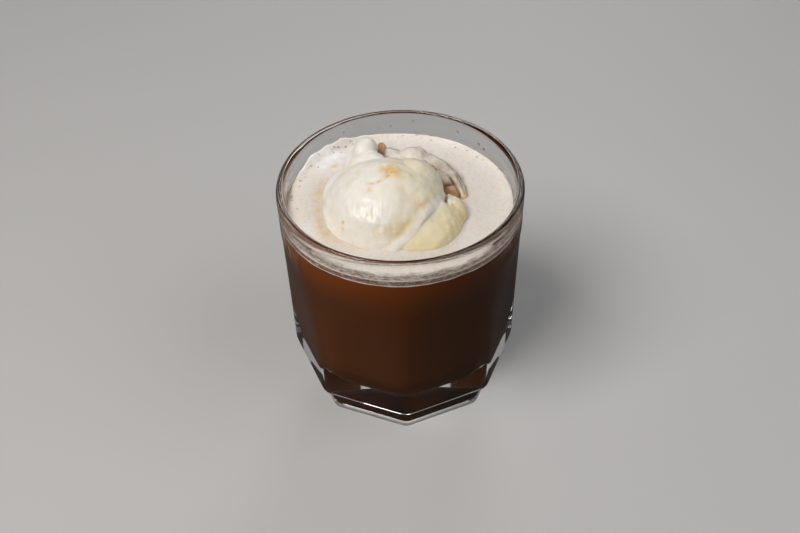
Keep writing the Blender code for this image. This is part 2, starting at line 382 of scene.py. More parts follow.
class StageSettings(bpy.types.PropertyGroup):
    """Camera, floor and lights."""

    camera_distance: FloatProperty(
        name="Camera distance", description="From the camera to the point it looks at",
        default=CAMERA_DISTANCE, min=0.1, max=5.0, unit="LENGTH",
    )
    camera_height: FloatProperty(
        name="Camera elevation", description="Angle of the camera above the table",
        default=CAMERA_RISE, min=0.0, max=1.57, subtype="ANGLE",
    )
    camera_roll: FloatProperty(
        name="Camera roll", description="How far the camera leans", default=CAMERA_LEAN,
        min=-0.5, max=0.5, subtype="ANGLE",
    )
    lens: FloatProperty(
        name="Lens", description="Focal length in millimetres", default=CAMERA_LENS, min=15.0, max=200.0,
    )
    floor_color: FloatVectorProperty(
        name="Floor", description="Colour of the plain floor", subtype="COLOR", size=3,
        min=0.0, max=1.0, default=srgb(192, 190, 188),
    )
    key_power: FloatProperty(
        name="Key", description="Power of the key light", default=9.6, min=0.0, max=100.0,
    )
    fill_power: FloatProperty(
        name="Fill", description="Power of the fill light", default=2.5, min=0.0, max=100.0,
    )
    back_power: FloatProperty(
        name="Back", description="Power of the light behind", default=0.9, min=0.0, max=100.0,
    )


# Shared geometry


def smoothstep(low, high, values):
    """Ease from 0 at low to 1 at high, or the other way round where low is the larger."""
    share = np.clip((values - low) / (high - low), 0.0, 1.0)
    return share * share * (3.0 - 2.0 * share)


def soft_octagon(corner_radius, sharpness, turns):
    """Radii of a soft octagon whose corners reach corner_radius, one of them at turn 0."""
    facings = (np.arange(PANELS) + 0.5) * 2.0 * math.pi / PANELS

    def reach(angles):
        return (np.clip(np.cos(angles[:, None] - facings[None, :]), 0.0, None) ** sharpness).sum(axis=1)

    return corner_radius * (reach(np.zeros(1)) / reach(turns)) ** (1.0 / sharpness)


def wall_sharpness(height):
    """The panels fade out upward: sharp at the shoulder, a true circle near the rim."""
    heights = [station[0] for station in SHARPNESS_UP_THE_WALL]
    sharps = [math.log(station[1]) for station in SHARPNESS_UP_THE_WALL]
    return math.exp(np.interp(height, heights, sharps))


def turns_round(count):
    """Angles of evenly spaced points round the glass."""
    return np.arange(count) * 2.0 * math.pi / count


def points_round(radii, turns, heights):
    """Points at these turns, with one radius and height for all of them or one for each."""
    heights = np.broadcast_to(heights, turns.shape)
    return np.stack([radii * np.sin(turns), -radii * np.cos(turns), heights], axis=1)


def ring(height, corner_radius, sharpness, turns):
    """Points round the glass at one height, on a soft octagon."""
    return points_round(soft_octagon(corner_radius, sharpness, turns), turns, height)


def quarter(start, end, steps):
    """(height, radius) along a quarter of an ellipse that leaves start flat and meets end upright."""
    stations = []
    for step in range(steps + 1):
        turn = 0.5 * math.pi * step / steps
        height = start[0] + (end[0] - start[0]) * (1.0 - math.cos(turn))
        radius = start[1] + (end[1] - start[1]) * math.sin(turn)
        stations.append((height, radius))
    return stations


def wall_stations(low, high, steps):
    """(height, corner radius, sharpness) in even steps between two (height, radius) ends."""
    stations = []
    for step in range(steps + 1):
        share = step / steps
        height = low[0] + (high[0] - low[0]) * share
        stations.append((height, low[1] + (high[1] - low[1]) * share, wall_sharpness(height)))
    return stations


def hollow_radius(height):
    """Corner radius of the hollow at a height on its wall, above the floor's rounding."""
    share = (height - HOLLOW_WALL_FOOT) / (FOAM_LEVEL - HOLLOW_WALL_FOOT)
    return HOLLOW_FLOOR_CORNER_RADIUS + (HOLLOW_TOP_RADIUS - HOLLOW_FLOOR_CORNER_RADIUS) * share


def wall_radius(heights):
    """Radius of the round part of the inner wall, from the foam up to the lip."""
    lip_foot = GLASS_TOP - LIP_THICKNESS
    share = (heights - FOAM_LEVEL) / (lip_foot - FOAM_LEVEL)
    return HOLLOW_TOP_RADIUS + (GLASS_HIGH.x - LIP_THICKNESS - HOLLOW_TOP_RADIUS) * share


def hollow_stations(top, steps):
    """Up the inside of the glass from its floor's middle to the height top."""
    floor = (HOLLOW_FLOOR, HOLLOW_FLOOR_CORNER_RADIUS - HOLLOW_FLOOR_INSET)
    wall_foot = (HOLLOW_WALL_FOOT, HOLLOW_FLOOR_CORNER_RADIUS)
    bowl = [(*spot, SHOULDER_SHARPNESS) for spot in quarter(floor, wall_foot, 20)[:-1]]
    inner = [(HOLLOW_FLOOR, floor[1] * share, ROUND) for share in (0.25, 0.5, 0.75, 0.97)]
    return inner + bowl + wall_stations(wall_foot, (top, hollow_radius(top)), steps)


def loft(name, rings, bottom, top):
    """A closed mesh through rings of equal count, closed by fans to the points bottom and top."""
    count = len(rings[0])
    points = np.concatenate(rings + [np.array([bottom, top])])
    faces = []
    following = np.roll(np.arange(count), -1)
    for row in range(len(rings) - 1):
        low, high = row * count, (row + 1) * count
        faces += [(low + i, low + j, high + j, high + i) for i, j in enumerate(following)]
    last = (len(rings) - 1) * count
    foot, crown = len(points) - 2, len(points) - 1
    faces += [(j, i, foot) for i, j in enumerate(following)]
    faces += [(last + i, last + j, crown) for i, j in enumerate(following)]
    mesh = bpy.data.meshes.new(name)
    mesh.from_pydata(points.tolist(), [], [tuple(int(v) for v in face) for face in faces])
    mesh.update()
    mesh.shade_smooth()
    return mesh


def place(name, mesh, material, node=None, slot=None):
    """Add a finished mesh as a piece of the part, standing for a node where one is named."""
    piece = bpy.data.objects.new(name, mesh)
    bpy.context.scene.collection.objects.link(piece)
    mesh.materials.clear()
    mesh.materials.append(material)
    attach(piece, BODY)
    if node:
        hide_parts(node)
    return piece


def mesh_from(name, bm):
    """A mesh with the shapes of a bmesh, which is freed."""
    mesh = bpy.data.meshes.new(name)
    bm.to_mesh(mesh)
    bm.free()
    return mesh


def mesh_points(mesh):
    """The mesh's points, one row each."""
    points = np.zeros(len(mesh.vertices) * 3)
    mesh.vertices.foreach_get("co", points)
    return points.reshape(-1, 3)


def mesh_normals(mesh):
    """The directions in which the mesh's points face, one row each."""
    normals = np.zeros(len(mesh.vertices) * 3)
    mesh.vertex_normals.foreach_get("vector", normals)
    return normals.reshape(-1, 3)


def move_points(mesh, points):
    """Put the mesh's points at new places."""
    mesh.vertices.foreach_set("co", points.ravel())
    mesh.update()


def paint(mesh, name, values):
    """Store a mask on the mesh, one value for each point, for its material to read."""
    layer = mesh.attributes.new(name, "FLOAT", "POINT")
    layer.data.foreach_set("value", np.clip(values, 0.0, 1.0).astype(np.float32))


def rough(points, size, seed=0.0):
    """Smooth noise from -1 to 1 at each point, with lumps of about the given size."""
    shift = Vector((seed, 1.7 * seed, -seed))
    return np.array([noise.noise(Vector(point) / size + shift) for point in points])


def gap_to(points, route):
    """How far each point is from the route, in millimetres."""
    return route_offsets(points, route)[0] / MM


def route_offsets(points, route):
    """For each point, the nearest spot on the route: distance, offset vector, tangent, share along."""
    stops = np.array(route) * MM
    lengths = np.linalg.norm(np.diff(stops, axis=0), axis=1)
    total, walked = lengths.sum(), 0.0
    best = np.full(len(points), np.inf)
    offset = np.zeros_like(points)
    tangent = np.zeros_like(points)
    along = np.zeros(len(points))
    for start, end, length in zip(stops, stops[1:], lengths):
        way = (end - start) / length
        reach = np.clip((points - start) @ way, 0.0, length)
        delta = points - (start + reach[:, None] * way)
        distance = np.linalg.norm(delta, axis=1)
        nearer = distance < best
        best[nearer] = distance[nearer]
        offset[nearer] = delta[nearer]
        tangent[nearer] = way
        along[nearer] = (walked + reach[nearer]) / total
        walked += length
    return best, offset, tangent, along


# Shared shading


class Nodes:
    """Short calls for building one node tree."""

    def __init__(self, tree):
        self.tree = tree

    def add(self, kind, **settings):
        """A new node of this kind, with its settings."""
        made = self.tree.nodes.new(kind)
        for name, value in settings.items():
            setattr(made, name, value)
        return made

    def join(self, source, target):
        """Link an output to an input."""
        self.tree.links.new(source, target)

    def feed(self, socket, value):
        """Set a socket to a number or a colour, or link another socket into it."""
        if isinstance(value, bpy.types.NodeSocket):
            self.join(value, socket)
        elif isinstance(value, tuple) and len(value) == 3 and socket.type == "RGBA":
            socket.default_value = (*value, 1.0)
        else:
            socket.default_value = value

    def object_place(self):
        """Where the shaded spot is, in metres."""
        return self.add("ShaderNodeTexCoord").outputs["Object"]

    def stretched(self, place, scale):
        """The place with each axis scaled, which draws a pattern out along the smaller ones."""
        mapping = self.add("ShaderNodeMapping", vector_type="POINT")
        self.join(place, mapping.inputs["Vector"])
        self.feed(mapping.inputs["Scale"], scale)
        return mapping.outputs["Vector"]

    def height(self, place):
        """The place's height."""
        split = self.add("ShaderNodeSeparateXYZ")
        self.join(place, split.inputs["Vector"])
        return split.outputs["Z"]

    def noise(self, place, scale, detail=3.0, roughness=0.5):
        """Soft noise around 0.5."""
        texture = self.add("ShaderNodeTexNoise")
        self.join(place, texture.inputs["Vector"])
        self.feed(texture.inputs["Scale"], scale)
        self.feed(texture.inputs["Detail"], detail)
        self.feed(texture.inputs["Roughness"], roughness)
        return texture.outputs["Fac"]

    def cells(self, place, scale):
        """Distance to the middle of the nearest cell."""
        texture = self.add("ShaderNodeTexVoronoi", feature="F1")
        self.join(place, texture.inputs["Vector"])
        self.feed(texture.inputs["Scale"], scale)
        return texture.outputs["Distance"]

    def ramp(self, value, low, high, start=0.0, end=1.0):
        """Carry a value from the range low to high over to start to end, eased at both ends."""
        change = self.add("ShaderNodeMapRange", interpolation_type="SMOOTHSTEP")
        self.feed(change.inputs["Value"], value)
        self.feed(change.inputs["From Min"], low)
        self.feed(change.inputs["From Max"], high)
        self.feed(change.inputs["To Min"], start)
        self.feed(change.inputs["To Max"], end)
        return change.outputs["Result"]

    def math(self, operation, *values):
        """One step of arithmetic on numbers or sockets."""
        node = self.add("ShaderNodeMath", operation=operation)
        for socket, value in zip(node.inputs, values):
            self.feed(socket, value)
        return node.outputs["Value"]

    def blend(self, share, first, second):
        """A colour between two others: the first at a share of 0, the second at 1."""
        node = self.add("ShaderNodeMix", data_type="RGBA")
        color_a, color_b, color_out = node.inputs[6], node.inputs[7], node.outputs[2]
        self.feed(node.inputs["Factor"], share)
        self.feed(color_a, first)
        self.feed(color_b, second)
        return color_out

    def mask(self, name):
        """A mask that was painted on the mesh."""
        return self.add("ShaderNodeAttribute", attribute_name=name).outputs["Fac"]

    def bump(self, height, strength, distance, normal=None):
        """The surface's normal with this relief, on top of another relief where one is given."""
        node = self.add("ShaderNodeBump")
        self.feed(node.inputs["Height"], height)
        self.feed(node.inputs["Strength"], strength)
        self.feed(node.inputs["Distance"], distance)
        if normal:
            self.join(normal, node.inputs["Normal"])
        return node.outputs["Normal"]

    def group(self, tree, **values):
        """The outputs of a node group, with its inputs set by name."""
        node = self.add("ShaderNodeGroup", node_tree=tree)
        for name, value in values.items():
            self.feed(node.inputs[name.replace("_", " ").capitalize()], value)
        return node.outputs


def new_material(name):
    """An empty material with its Principled shader and output, as (material, nodes, shader)."""
    material = bpy.data.materials.new(name)
    material.use_nodes = True
    nodes = Nodes(material.node_tree)
    return material, nodes, material.node_tree.nodes["Principled BSDF"]


def new_group(name, inputs, outputs):
    """A node group with named sockets, as (tree, nodes, input sockets, output sockets)."""
    tree = bpy.data.node_groups.new(name, "ShaderNodeTree")
    for socket, kind, value in inputs:
        made = tree.interface.new_socket(socket, in_out="INPUT", socket_type=kind)
        made.default_value = value
    for socket, kind in outputs:
        tree.interface.new_socket(socket, in_out="OUTPUT", socket_type=kind)
    nodes = Nodes(tree)
    return tree, nodes, nodes.add("NodeGroupInput").outputs, nodes.add("NodeGroupOutput").inputs


def froth_group():
    """Fine bubbles packed side by side: a height for the bump and a mask of the thin walls."""
    if "froth" in bpy.data.node_groups:
        return bpy.data.node_groups["froth"]
    tree, nodes, given, out = new_group(
        "froth",
        [("Scale", "NodeSocketFloat", 1.0), ("Unevenness", "NodeSocketFloat", 0.5)],
        [("Height", "NodeSocketFloat"), ("Walls", "NodeSocketFloat")],
    )
    place = nodes.object_place()
    fine = nodes.cells(place, nodes.math("MULTIPLY", given["Scale"], 2600.0))
    coarse = nodes.cells(place, nodes.math("MULTIPLY", given["Scale"], 900.0))
    swell = nodes.noise(place, nodes.math("MULTIPLY", given["Scale"], 240.0), 4.0)
    both = nodes.math("ADD", nodes.math("MULTIPLY", fine, 0.35), nodes.math("MULTIPLY", coarse, 0.65))
    uneven = nodes.math("MULTIPLY", swell, given["Unevenness"])
    nodes.join(nodes.math("SUBTRACT", uneven, both), out["Height"])
    nodes.join(nodes.ramp(coarse, 0.45, 0.75), out["Walls"])
    return tree


def mottle_group():
    """Soft uneven patches, as a mask from 0 to 1."""
    if "mottle" in bpy.data.node_groups:
        return bpy.data.node_groups["mottle"]
    tree, nodes, given, out = new_group(
        "mottle",
        [
            ("Scale", "NodeSocketFloat", 100.0),
            ("Low", "NodeSocketFloat", 0.35),
            ("High", "NodeSocketFloat", 0.65),
        ],
        [("Mask", "NodeSocketFloat")],
    )
    patches = nodes.noise(nodes.object_place(), given["Scale"], 4.0, 0.55)
    nodes.join(nodes.ramp(patches, given["Low"], given["High"]), out["Mask"])
    return tree


def streaks_group():
    """Ragged level streaks, as uneven bubbles draw where they lie against glass: a mask from 0 to 1."""
    if "streaks" in bpy.data.node_groups:
        return bpy.data.node_groups["streaks"]
    tree, nodes, given, out = new_group(
        "streaks",
        [
            ("Scale", "NodeSocketFloat", 600.0),
            ("Flatness", "NodeSocketFloat", 3.0),
            ("Low", "NodeSocketFloat", 0.6),
            ("High", "NodeSocketFloat", 0.4),
        ],
        [("Mask", "NodeSocketFloat")],
    )
    flat = nodes.add("ShaderNodeCombineXYZ")
    nodes.feed(flat.inputs["X"], 1.0)
    nodes.feed(flat.inputs["Y"], 1.0)
    nodes.feed(flat.inputs["Z"], given["Flatness"])
    place = nodes.stretched(nodes.object_place(), flat.outputs["Vector"])
    lines = nodes.noise(place, given["Scale"], 8.0, 0.8)
    nodes.join(nodes.ramp(lines, given["Low"], given["High"]), out["Mask"])
    return tree


def glass_material(name, tint, refraction, wave_height):
    """Clear glass that lets light through to what stands behind it."""
    material, nodes, shader = new_material(name)
    shader.inputs["Base Color"].default_value = (*tint, 1.0)
    shader.inputs["Roughness"].default_value = 0.0
    shader.inputs["Transmission Weight"].default_value = 1.0
    shader.inputs["IOR"].default_value = refraction
    shader.inputs["Specular Tint"].default_value = (0.4, 0.4, 0.4, 1.0)
    waves = nodes.noise(nodes.object_place(), 70.0, 1.0)
    nodes.join(nodes.bump(waves, 0.6, wave_height), shader.inputs["Normal"])
    clear = nodes.add("ShaderNodeBsdfTransparent")
    clear.inputs["Color"].default_value = (*tint, 1.0)
    either = nodes.add("ShaderNodeMixShader")
    nodes.join(nodes.add("ShaderNodeLightPath").outputs["Is Shadow Ray"], either.inputs["Fac"])
    nodes.join(shader.outputs["BSDF"], either.inputs[1])
    nodes.join(clear.outputs["BSDF"], either.inputs[2])
    nodes.join(either.outputs["Shader"], material.node_tree.nodes["Material Output"].inputs["Surface"])
    return material


def coffee_material(drink):
    """Milky coffee: warmer below the foam as a painted glow of light through the foam, darker to the right as
    painted shade, slowly mottled, with cream left on the wall.
    """
    material, nodes, shader = new_material("milky coffee")
    place = nodes.object_place()
    height = nodes.height(place)
    glow_under_foam = nodes.ramp(height, 58.0 * MM, FOAM_BOTTOM)
    uneven = nodes.group(mottle_group(), scale=45.0, low=0.2, high=0.8)["Mask"]
    body = nodes.blend(nodes.math("MULTIPLY", uneven, 0.35), tuple(drink.coffee_color), srgb(62, 32, 10))
    # Painted glow: warmer just under the foam, as if lit through the foam.
    painted_light = nodes.blend(glow_under_foam, body, tuple(drink.coffee_glow_color))
    # Painted shade: the coffee darker toward the right, where the light falls off.
    painted_light = nodes.blend(nodes.mask("dark"), painted_light, srgb(40, 21, 8))
    wisps = nodes.noise(nodes.stretched(place, (1.0, 1.0, 0.35)), 420.0, 5.0, 0.6)
    cream = nodes.math("MULTIPLY", nodes.mask("cream"), nodes.ramp(wisps, 0.35, 0.62))
    nodes.join(nodes.blend(cream, painted_light, srgb(176, 158, 140)), shader.inputs["Base Color"])
    shader.inputs["Roughness"].default_value = 0.6
    shader.inputs["Specular IOR Level"].default_value = 0.05
    return material


def foam_material(drink):
    """Milk foam: fine froth on top, and streaks of bigger bubbles where it meets the wall."""
    material, nodes, shader = new_material("milk foam")
    place = nodes.object_place()
    height = nodes.height(place)
    froth = nodes.group(froth_group(), scale=1.0, unevenness=0.6)
    patches = nodes.group(mottle_group(), scale=120.0, low=0.35, high=0.75)["Mask"]
    color = nodes.blend(nodes.math("MULTIPLY", patches, 0.35), tuple(drink.foam_color), srgb(208, 192, 170))
    color = nodes.blend(nodes.math("MULTIPLY", froth["Walls"], 0.25), color, srgb(196, 178, 158))
    # Painted light: the bank at the back left is whiter, as it catches the light.
    color = nodes.blend(nodes.mask("milky"), color, srgb(236, 232, 234))
    color = nodes.blend(nodes.mask("ochre"), color, srgb(210, 184, 140))
    streaks = nodes.group(streaks_group(), scale=620.0, flatness=3.2, low=0.68, high=0.48)["Mask"]
    high = nodes.ramp(height, FOAM_LEVEL, FOAM_LEVEL - 0.5 * MM)
    low = nodes.ramp(height, FOAM_BOTTOM + 0.15 * MM, FOAM_BOTTOM + 0.6 * MM)
    side = nodes.math("MULTIPLY", nodes.mask("side"), streaks)
    band = nodes.math("MULTIPLY", high, low)
    color = nodes.blend(nodes.math("MULTIPLY", side, band), color, tuple(drink.streak_color))
    # Coffee and painted shade: a dark line where the foam meets the scoop, and the cleft behind it.
    color = nodes.blend(nodes.mask("coffee"), color, srgb(112, 80, 56))
    nodes.join(color, shader.inputs["Base Color"])
    nodes.join(nodes.ramp(froth["Walls"], 0.0, 1.0, 0.42, 0.6), shader.inputs["Roughness"])
    nodes.join(nodes.bump(froth["Height"], 0.35, 0.12 * MM), shader.inputs["Normal"])
    shader.inputs["Subsurface Weight"].default_value = 0.3
    shader.inputs["Subsurface Radius"].default_value = (1.0, 0.75, 0.5)
    shader.inputs["Subsurface Scale"].default_value = 1.5 * MM
    shader.inputs["IOR"].default_value = 1.35
    return material


def scoop_material(scoop):
    """Ice cream: cream to vanilla, golden where it melts, brown where coffee lies in its creases, with
    painted shade in its creases and behind it.
    """
    material, nodes, shader = new_material("vanilla ice cream")
    place = nodes.object_place()
    patches = nodes.group(mottle_group(), scale=90.0, low=0.3, high=0.7)["Mask"]
    yellow = nodes.math("MULTIPLY_ADD", patches, 0.3, -0.15)
    share = nodes.math("ADD", nodes.mask("vanilla"), yellow)
    color = nodes.blend(share, tuple(scoop.cream_color), tuple(scoop.vanilla_color))
    faint = nodes.noise(nodes.stretched(place, (1.0, 0.5, 0.5)), 420.0, 4.0, 0.6)
    color = nodes.blend(nodes.ramp(faint, 0.45, 0.75, 0.0, 0.35), color, srgb(232, 216, 180))
    grain = nodes.noise(place, 900.0, 5.0, 0.65)
    melt = nodes.math("MULTIPLY", nodes.mask("melt"), nodes.ramp(nodes.noise(place, 500.0, 4.0), 0.25, 0.55))
    color = nodes.blend(melt, color, tuple(scoop.melt_color))
    # Painted shade: a darker golden tint in the creases.
    color = nodes.blend(nodes.math("MULTIPLY", nodes.mask("crease"), 0.25), color, srgb(226, 200, 150))
    # Painted shade: patchy grey over the ice cream low down behind the ball.
    shade_patches = nodes.group(mottle_group(), scale=260.0, low=0.25, high=0.75)["Mask"]
    shade_patches = nodes.math("MULTIPLY", nodes.mask("soaked"), nodes.ramp(shade_patches, 0.0, 1.0, 0.45, 0.95))
    color = nodes.blend(shade_patches, color, srgb(178, 165, 154))
    # The coffee mask is real coffee, plus painted shade in the creases, the lines and the cleft.
    stain = nodes.ramp(nodes.mask("coffee"), 0.05, 0.8)
    color = nodes.blend(stain, color, tuple(scoop.coffee_color))
    nodes.join(color, shader.inputs["Base Color"])
    wet = nodes.math("MAXIMUM", nodes.mask("wet"), stain)
    nodes.join(nodes.ramp(wet, 0.0, 1.0, 0.42, 0.16), shader.inputs["Roughness"])
    pores = nodes.cells(place, 520.0)
    swells = nodes.noise(nodes.stretched(place, (1.0, 0.6, 0.6)), 300.0, 3.0, 0.6)
    surface = nodes.bump(swells, 0.5, 0.24 * MM)
    surface = nodes.bump(grain, 0.5, 0.14 * MM, surface)
    surface = nodes.bump(pores, 0.25, 0.10 * MM, surface)
    runs = nodes.noise(nodes.stretched(place, (1.0, 0.35, 0.35)), 1300.0, 3.0, 0.6)
    runs = nodes.math("MULTIPLY", runs, nodes.mask("wet"))
    nodes.join(nodes.bump(runs, 0.8, 0.30 * MM, surface), shader.inputs["Normal"])
    shader.inputs["Subsurface Weight"].default_value = 0.35
    shader.inputs["Subsurface Radius"].default_value = (1.0, 0.8, 0.5)
    shader.inputs["Subsurface Scale"].default_value = 2.0 * MM
    shader.inputs["IOR"].default_value = 1.4
    return material


def liquid_material(name, color, roughness):
    """A thin pool of coffee, glossy and unevenly dark."""
    material, nodes, shader = new_material(name)
    patches = nodes.group(mottle_group(), scale=380.0, low=0.3, high=0.7)["Mask"]
    lighter = tuple(min(1.0, 1.35 * value) for value in color)
    nodes.join(nodes.blend(patches, color, lighter), shader.inputs["Base Color"])
    shader.inputs["Roughness"].default_value = roughness
    shader.inputs["Coat Weight"].default_value = 0.15
    return material


def film_material(drink):
    """The skin of milk left on the wall: patchy, thinner toward its top, with brown lines in it."""
    material, nodes, shader = new_material("milk film")
    place = nodes.object_place()
    brown = nodes.group(streaks_group(), scale=560.0, flatness=3.6, low=0.60, high=0.40)["Mask"]
    nodes.join(nodes.blend(brown, tuple(drink.foam_color), srgb(118, 88, 70)), shader.inputs["Base Color"])
    patches = nodes.noise(nodes.stretched(place, (1.0, 1.0, 3.0)), 200.0, 5.0, 0.6)
    ragged = nodes.math("SUBTRACT", nodes.math("ADD", 0.9, patches), nodes.mask("share"))
    nodes.join(nodes.ramp(ragged, 0.35, 1.25), shader.inputs["Alpha"])
    shader.inputs["Roughness"].default_value = 0.5
    shader.inputs["Specular IOR Level"].default_value = 0.2
    return material


def bubble_material():
    """A thin shiny skin of milk, coloured darker than the foam as painted shade of a little hollow beneath
    it.
    """
    material, nodes, shader = new_material("bubble skin")
    uneven = nodes.noise(nodes.object_place(), 900.0, 2.0)
    # Painted shade: darker than the foam, for the hollow under each bubble.
    nodes.join(nodes.blend(uneven, srgb(172, 156, 142), srgb(212, 200, 188)), shader.inputs["Base Color"])
    shader.inputs["Roughness"].default_value = 0.08
    shader.inputs["Transmission Weight"].default_value = 0.15
    shader.inputs["IOR"].default_value = 1.2
    return material


def seen_through(nodes):
    """Light Path's outputs, and a share that is 1 for rays from the camera or out of the glass."""
    light = nodes.add("ShaderNodeLightPath").outputs
    return light, nodes.math("MAXIMUM", light["Is Camera Ray"], light["Is Transmission Ray"])


def floor_material(stage):
    """A plain pale floor that mirrors as a dark card would, and glows evenly far from the glass."""
    material, nodes, shader = new_material("plain floor")
    color = tuple(stage.floor_color)
    patches = nodes.group(mottle_group(), scale=3.0, low=0.2, high=0.8)["Mask"]
    pale = nodes.blend(patches, color, tuple(0.97 * value for value in color))
    light, seen = seen_through(nodes)
    mirrored = nodes.ramp(light["Is Transmission Ray"], 0.0, 1.0, 0.86, 0.25)
    mirrored = nodes.math("MULTIPLY", light["Is Glossy Ray"], mirrored)
    nodes.join(nodes.blend(mirrored, pale, BLACK), shader.inputs["Base Color"])
    away = nodes.add("ShaderNodeVectorMath", operation="LENGTH")
    nodes.join(nodes.object_place(), away.inputs[0])
    glow = nodes.ramp(away.outputs["Value"], 0.30, 1.4)
    nodes.join(nodes.math("MULTIPLY", glow, seen), shader.inputs["Emission Strength"])
    shader.inputs["Emission Color"].default_value = (*STUDIO_GREY, 1.0)
    shader.inputs["Roughness"].default_value = 0.6
    shader.inputs["Specular IOR Level"].default_value = 0.3
    return material


# Shared forms


def ellipsoid_into(bm, centre, radii, heading, segments=32):
    """Add a rounded lump, in millimetres, turned round the upright by its heading in degrees."""
    turn = Matrix.Rotation(math.radians(heading), 4, "Z")
    size = Matrix.Diagonal((*(Vector(radii) * MM), 1.0))
    matrix = Matrix.Translation(Vector(centre) * MM) @ turn @ size
    bmesh.ops.create_uvsphere(bm, u_segments=segments, v_segments=segments // 2, radius=1.0, matrix=matrix)


def bead_into(bm, route):
    """Add a chain of overlapping balls along (centre, radius) stops."""
    for (start, thick_start), (end, thick_end) in zip(route, route[1:]):
        near, far = Vector(start) * MM, Vector(end) * MM
        count = math.ceil((far - near).length / BEAD_SPACING)
        for step in range(count + 1):
            share = step / count
            radius = (thick_start + (thick_end - thick_start) * share) * MM
            matrix = Matrix.Translation(near.lerp(far, share)) @ Matrix.Scale(radius, 4)
            bmesh.ops.create_icosphere(bm, subdivisions=2, radius=1.0, matrix=matrix)


def fused(name, bm, voxel, smoothing):
    """Fuse closed shapes into one skin on a fine grid and soften its creases."""
    source = bpy.data.objects.new(name, mesh_from(name, bm))
    bpy.context.scene.collection.objects.link(source)
    fuse = source.modifiers.new("fuse", "REMESH")
    fuse.mode = "VOXEL"
    fuse.voxel_size = voxel
    soften = source.modifiers.new("soften", "SMOOTH")
    soften.factor = 0.5
    soften.iterations = smoothing
    graph = bpy.context.evaluated_depsgraph_get()
    result = bpy.data.meshes.new_from_object(source.evaluated_get(graph))
    result.name = name
    bpy.data.objects.remove(source)
    result.shade_smooth()
    return result


def cut_by(mesh, cutter_mesh, inset):
    """Cut one closed mesh by another that is first shrunk by the inset, and return the result."""
    body = bpy.data.objects.new("cut_body", mesh)
    cutter = bpy.data.objects.new("cutter", cutter_mesh.copy())
    move_points(cutter.data, mesh_points(cutter.data) - inset * mesh_normals(cutter.data))
    for item in (body, cutter):
        bpy.context.scene.collection.objects.link(item)
    boolean = body.modifiers.new("cut", "BOOLEAN")
    boolean.operation = "DIFFERENCE"
    boolean.solver = "MANIFOLD"
    boolean.object = cutter
    graph = bpy.context.evaluated_depsgraph_get()
    result = bpy.data.meshes.new_from_object(body.evaluated_get(graph))
    result.name = mesh.name
    for item in (body, cutter):
        bpy.data.objects.remove(item)
    result.shade_smooth()
    result.set_sharp_from_angle(angle=math.radians(50.0))
    return result


def scoop_mesh(voxel):
    """The scoop's own form: fused lumps, pressed and folded where the spoon turned it."""
    bm = bmesh.new()
    for lump in LUMPS.values():
        ellipsoid_into(bm, *lump)
    bead_into(bm, REAR_CURL)
    bead_into(bm, FRONT_FOLD)
    mesh = fused("vanilla_scoop", bm, voxel, 4)
    fill_creases(mesh)
    points, normals = mesh_points(mesh), mesh_normals(mesh)
    push = uneven_skin(points) + fold_relief(points, normals)
    push += melt_relief(points) + wrinkles(points) + wet_runs(points)
    move_points(mesh, points + normals * (push * MM)[:, None])
    return mesh


def fill_creases(mesh):
    """Fill the creases between the fused lumps a little, and nearly wholly at the left."""
    points = mesh_points(mesh)
    left = smoothstep(-3.0, -8.0, points[:, 0] / MM)
    fill = np.clip(hollowness(mesh, 40), 0.0, 1.2) * (0.1 + 1.0 * left)
    move_points(mesh, points + mesh_normals(mesh) * (fill * MM)[:, None])


def uneven_skin(points):
    """Soft dents and swells in millimetres, rougher low down behind the ball."""
    x, y, z = points.T / MM
    push = 0.42 * rough(points, 7.0 * MM, 3.0) + 0.22 * rough(points, 3.0 * MM, 8.0)
    push += 0.08 * rough(points, 1.3 * MM, 5.0)
    behind = smoothstep(0.0, 6.0, 0.45 * x + y - 8.0) * smoothstep(84.0, 81.0, z)
    return push + behind * (0.30 * rough(points, 2.6 * MM, 12.0) + 0.15 * rough(points, 1.2 * MM, 14.0))


def beside_fold(points, normals):
    """Where each point lies by the fold, in millimetres: across it, from its line, and share along."""
    distance, offset, tangent, along = route_offsets(points, FOLD_ROUTE)
    side = np.einsum("ij,ij->i", offset, np.cross(normals, tangent)) / MM
    return side, distance / MM, along


def fold_relief(points, normals):
    """The fold across the front, in millimetres: a thin lip with a groove before it and a drop behind."""
    side, near, along = beside_fold(points, normals)
    ends = smoothstep(-0.02, 0.12, along) * smoothstep(11.0, 6.0, near)
    lip = 0.42 * smoothstep(-2.4, 0.8, side) * smoothstep(2.0, 1.1, side) * smoothstep(0.0, 0.35, along)
    groove = -0.12 * np.exp(-((side + 2.4) / 0.9) ** 2)
    drop = -0.50 * smoothstep(0.9, 4.0, side) * np.exp(-np.clip(side, 0.0, None) / 12.0)
    return ends * (lip + groove + drop)


def melt_relief(points):
    """Channels that the coffee and the melt have cut, in millimetres, the melt's with raised banks."""
    drip = -0.8 * np.exp(-(gap_to(points, DRIP_ROUTE) / 1.1) ** 2)
    distance = gap_to(points, MELT_ROUTE)
    return drip - 0.34 * np.exp(-(distance / 1.0) ** 2) + 0.16 * np.exp(-((distance - 1.9) / 0.8) ** 2)


def wrinkles(points):
    """Upright wrinkles down the right of the front lobe, in millimetres."""
    x, y, _ = points.T / MM
    wrinkled = smoothstep(13.0, 17.0, x) * smoothstep(0.0, -6.0, y)
    around = np.arctan2(points[:, 0] - 6.0 * MM, -points[:, 1])
    lines = np.stack([around * 22.0 * MM, np.zeros(len(points)), points[:, 2] * 0.22], axis=1)
    return 0.24 * wrinkled * (rough(lines, 1.6 * MM, 2.0) + 0.7 * rough(points, 1.8 * MM, 23.0))


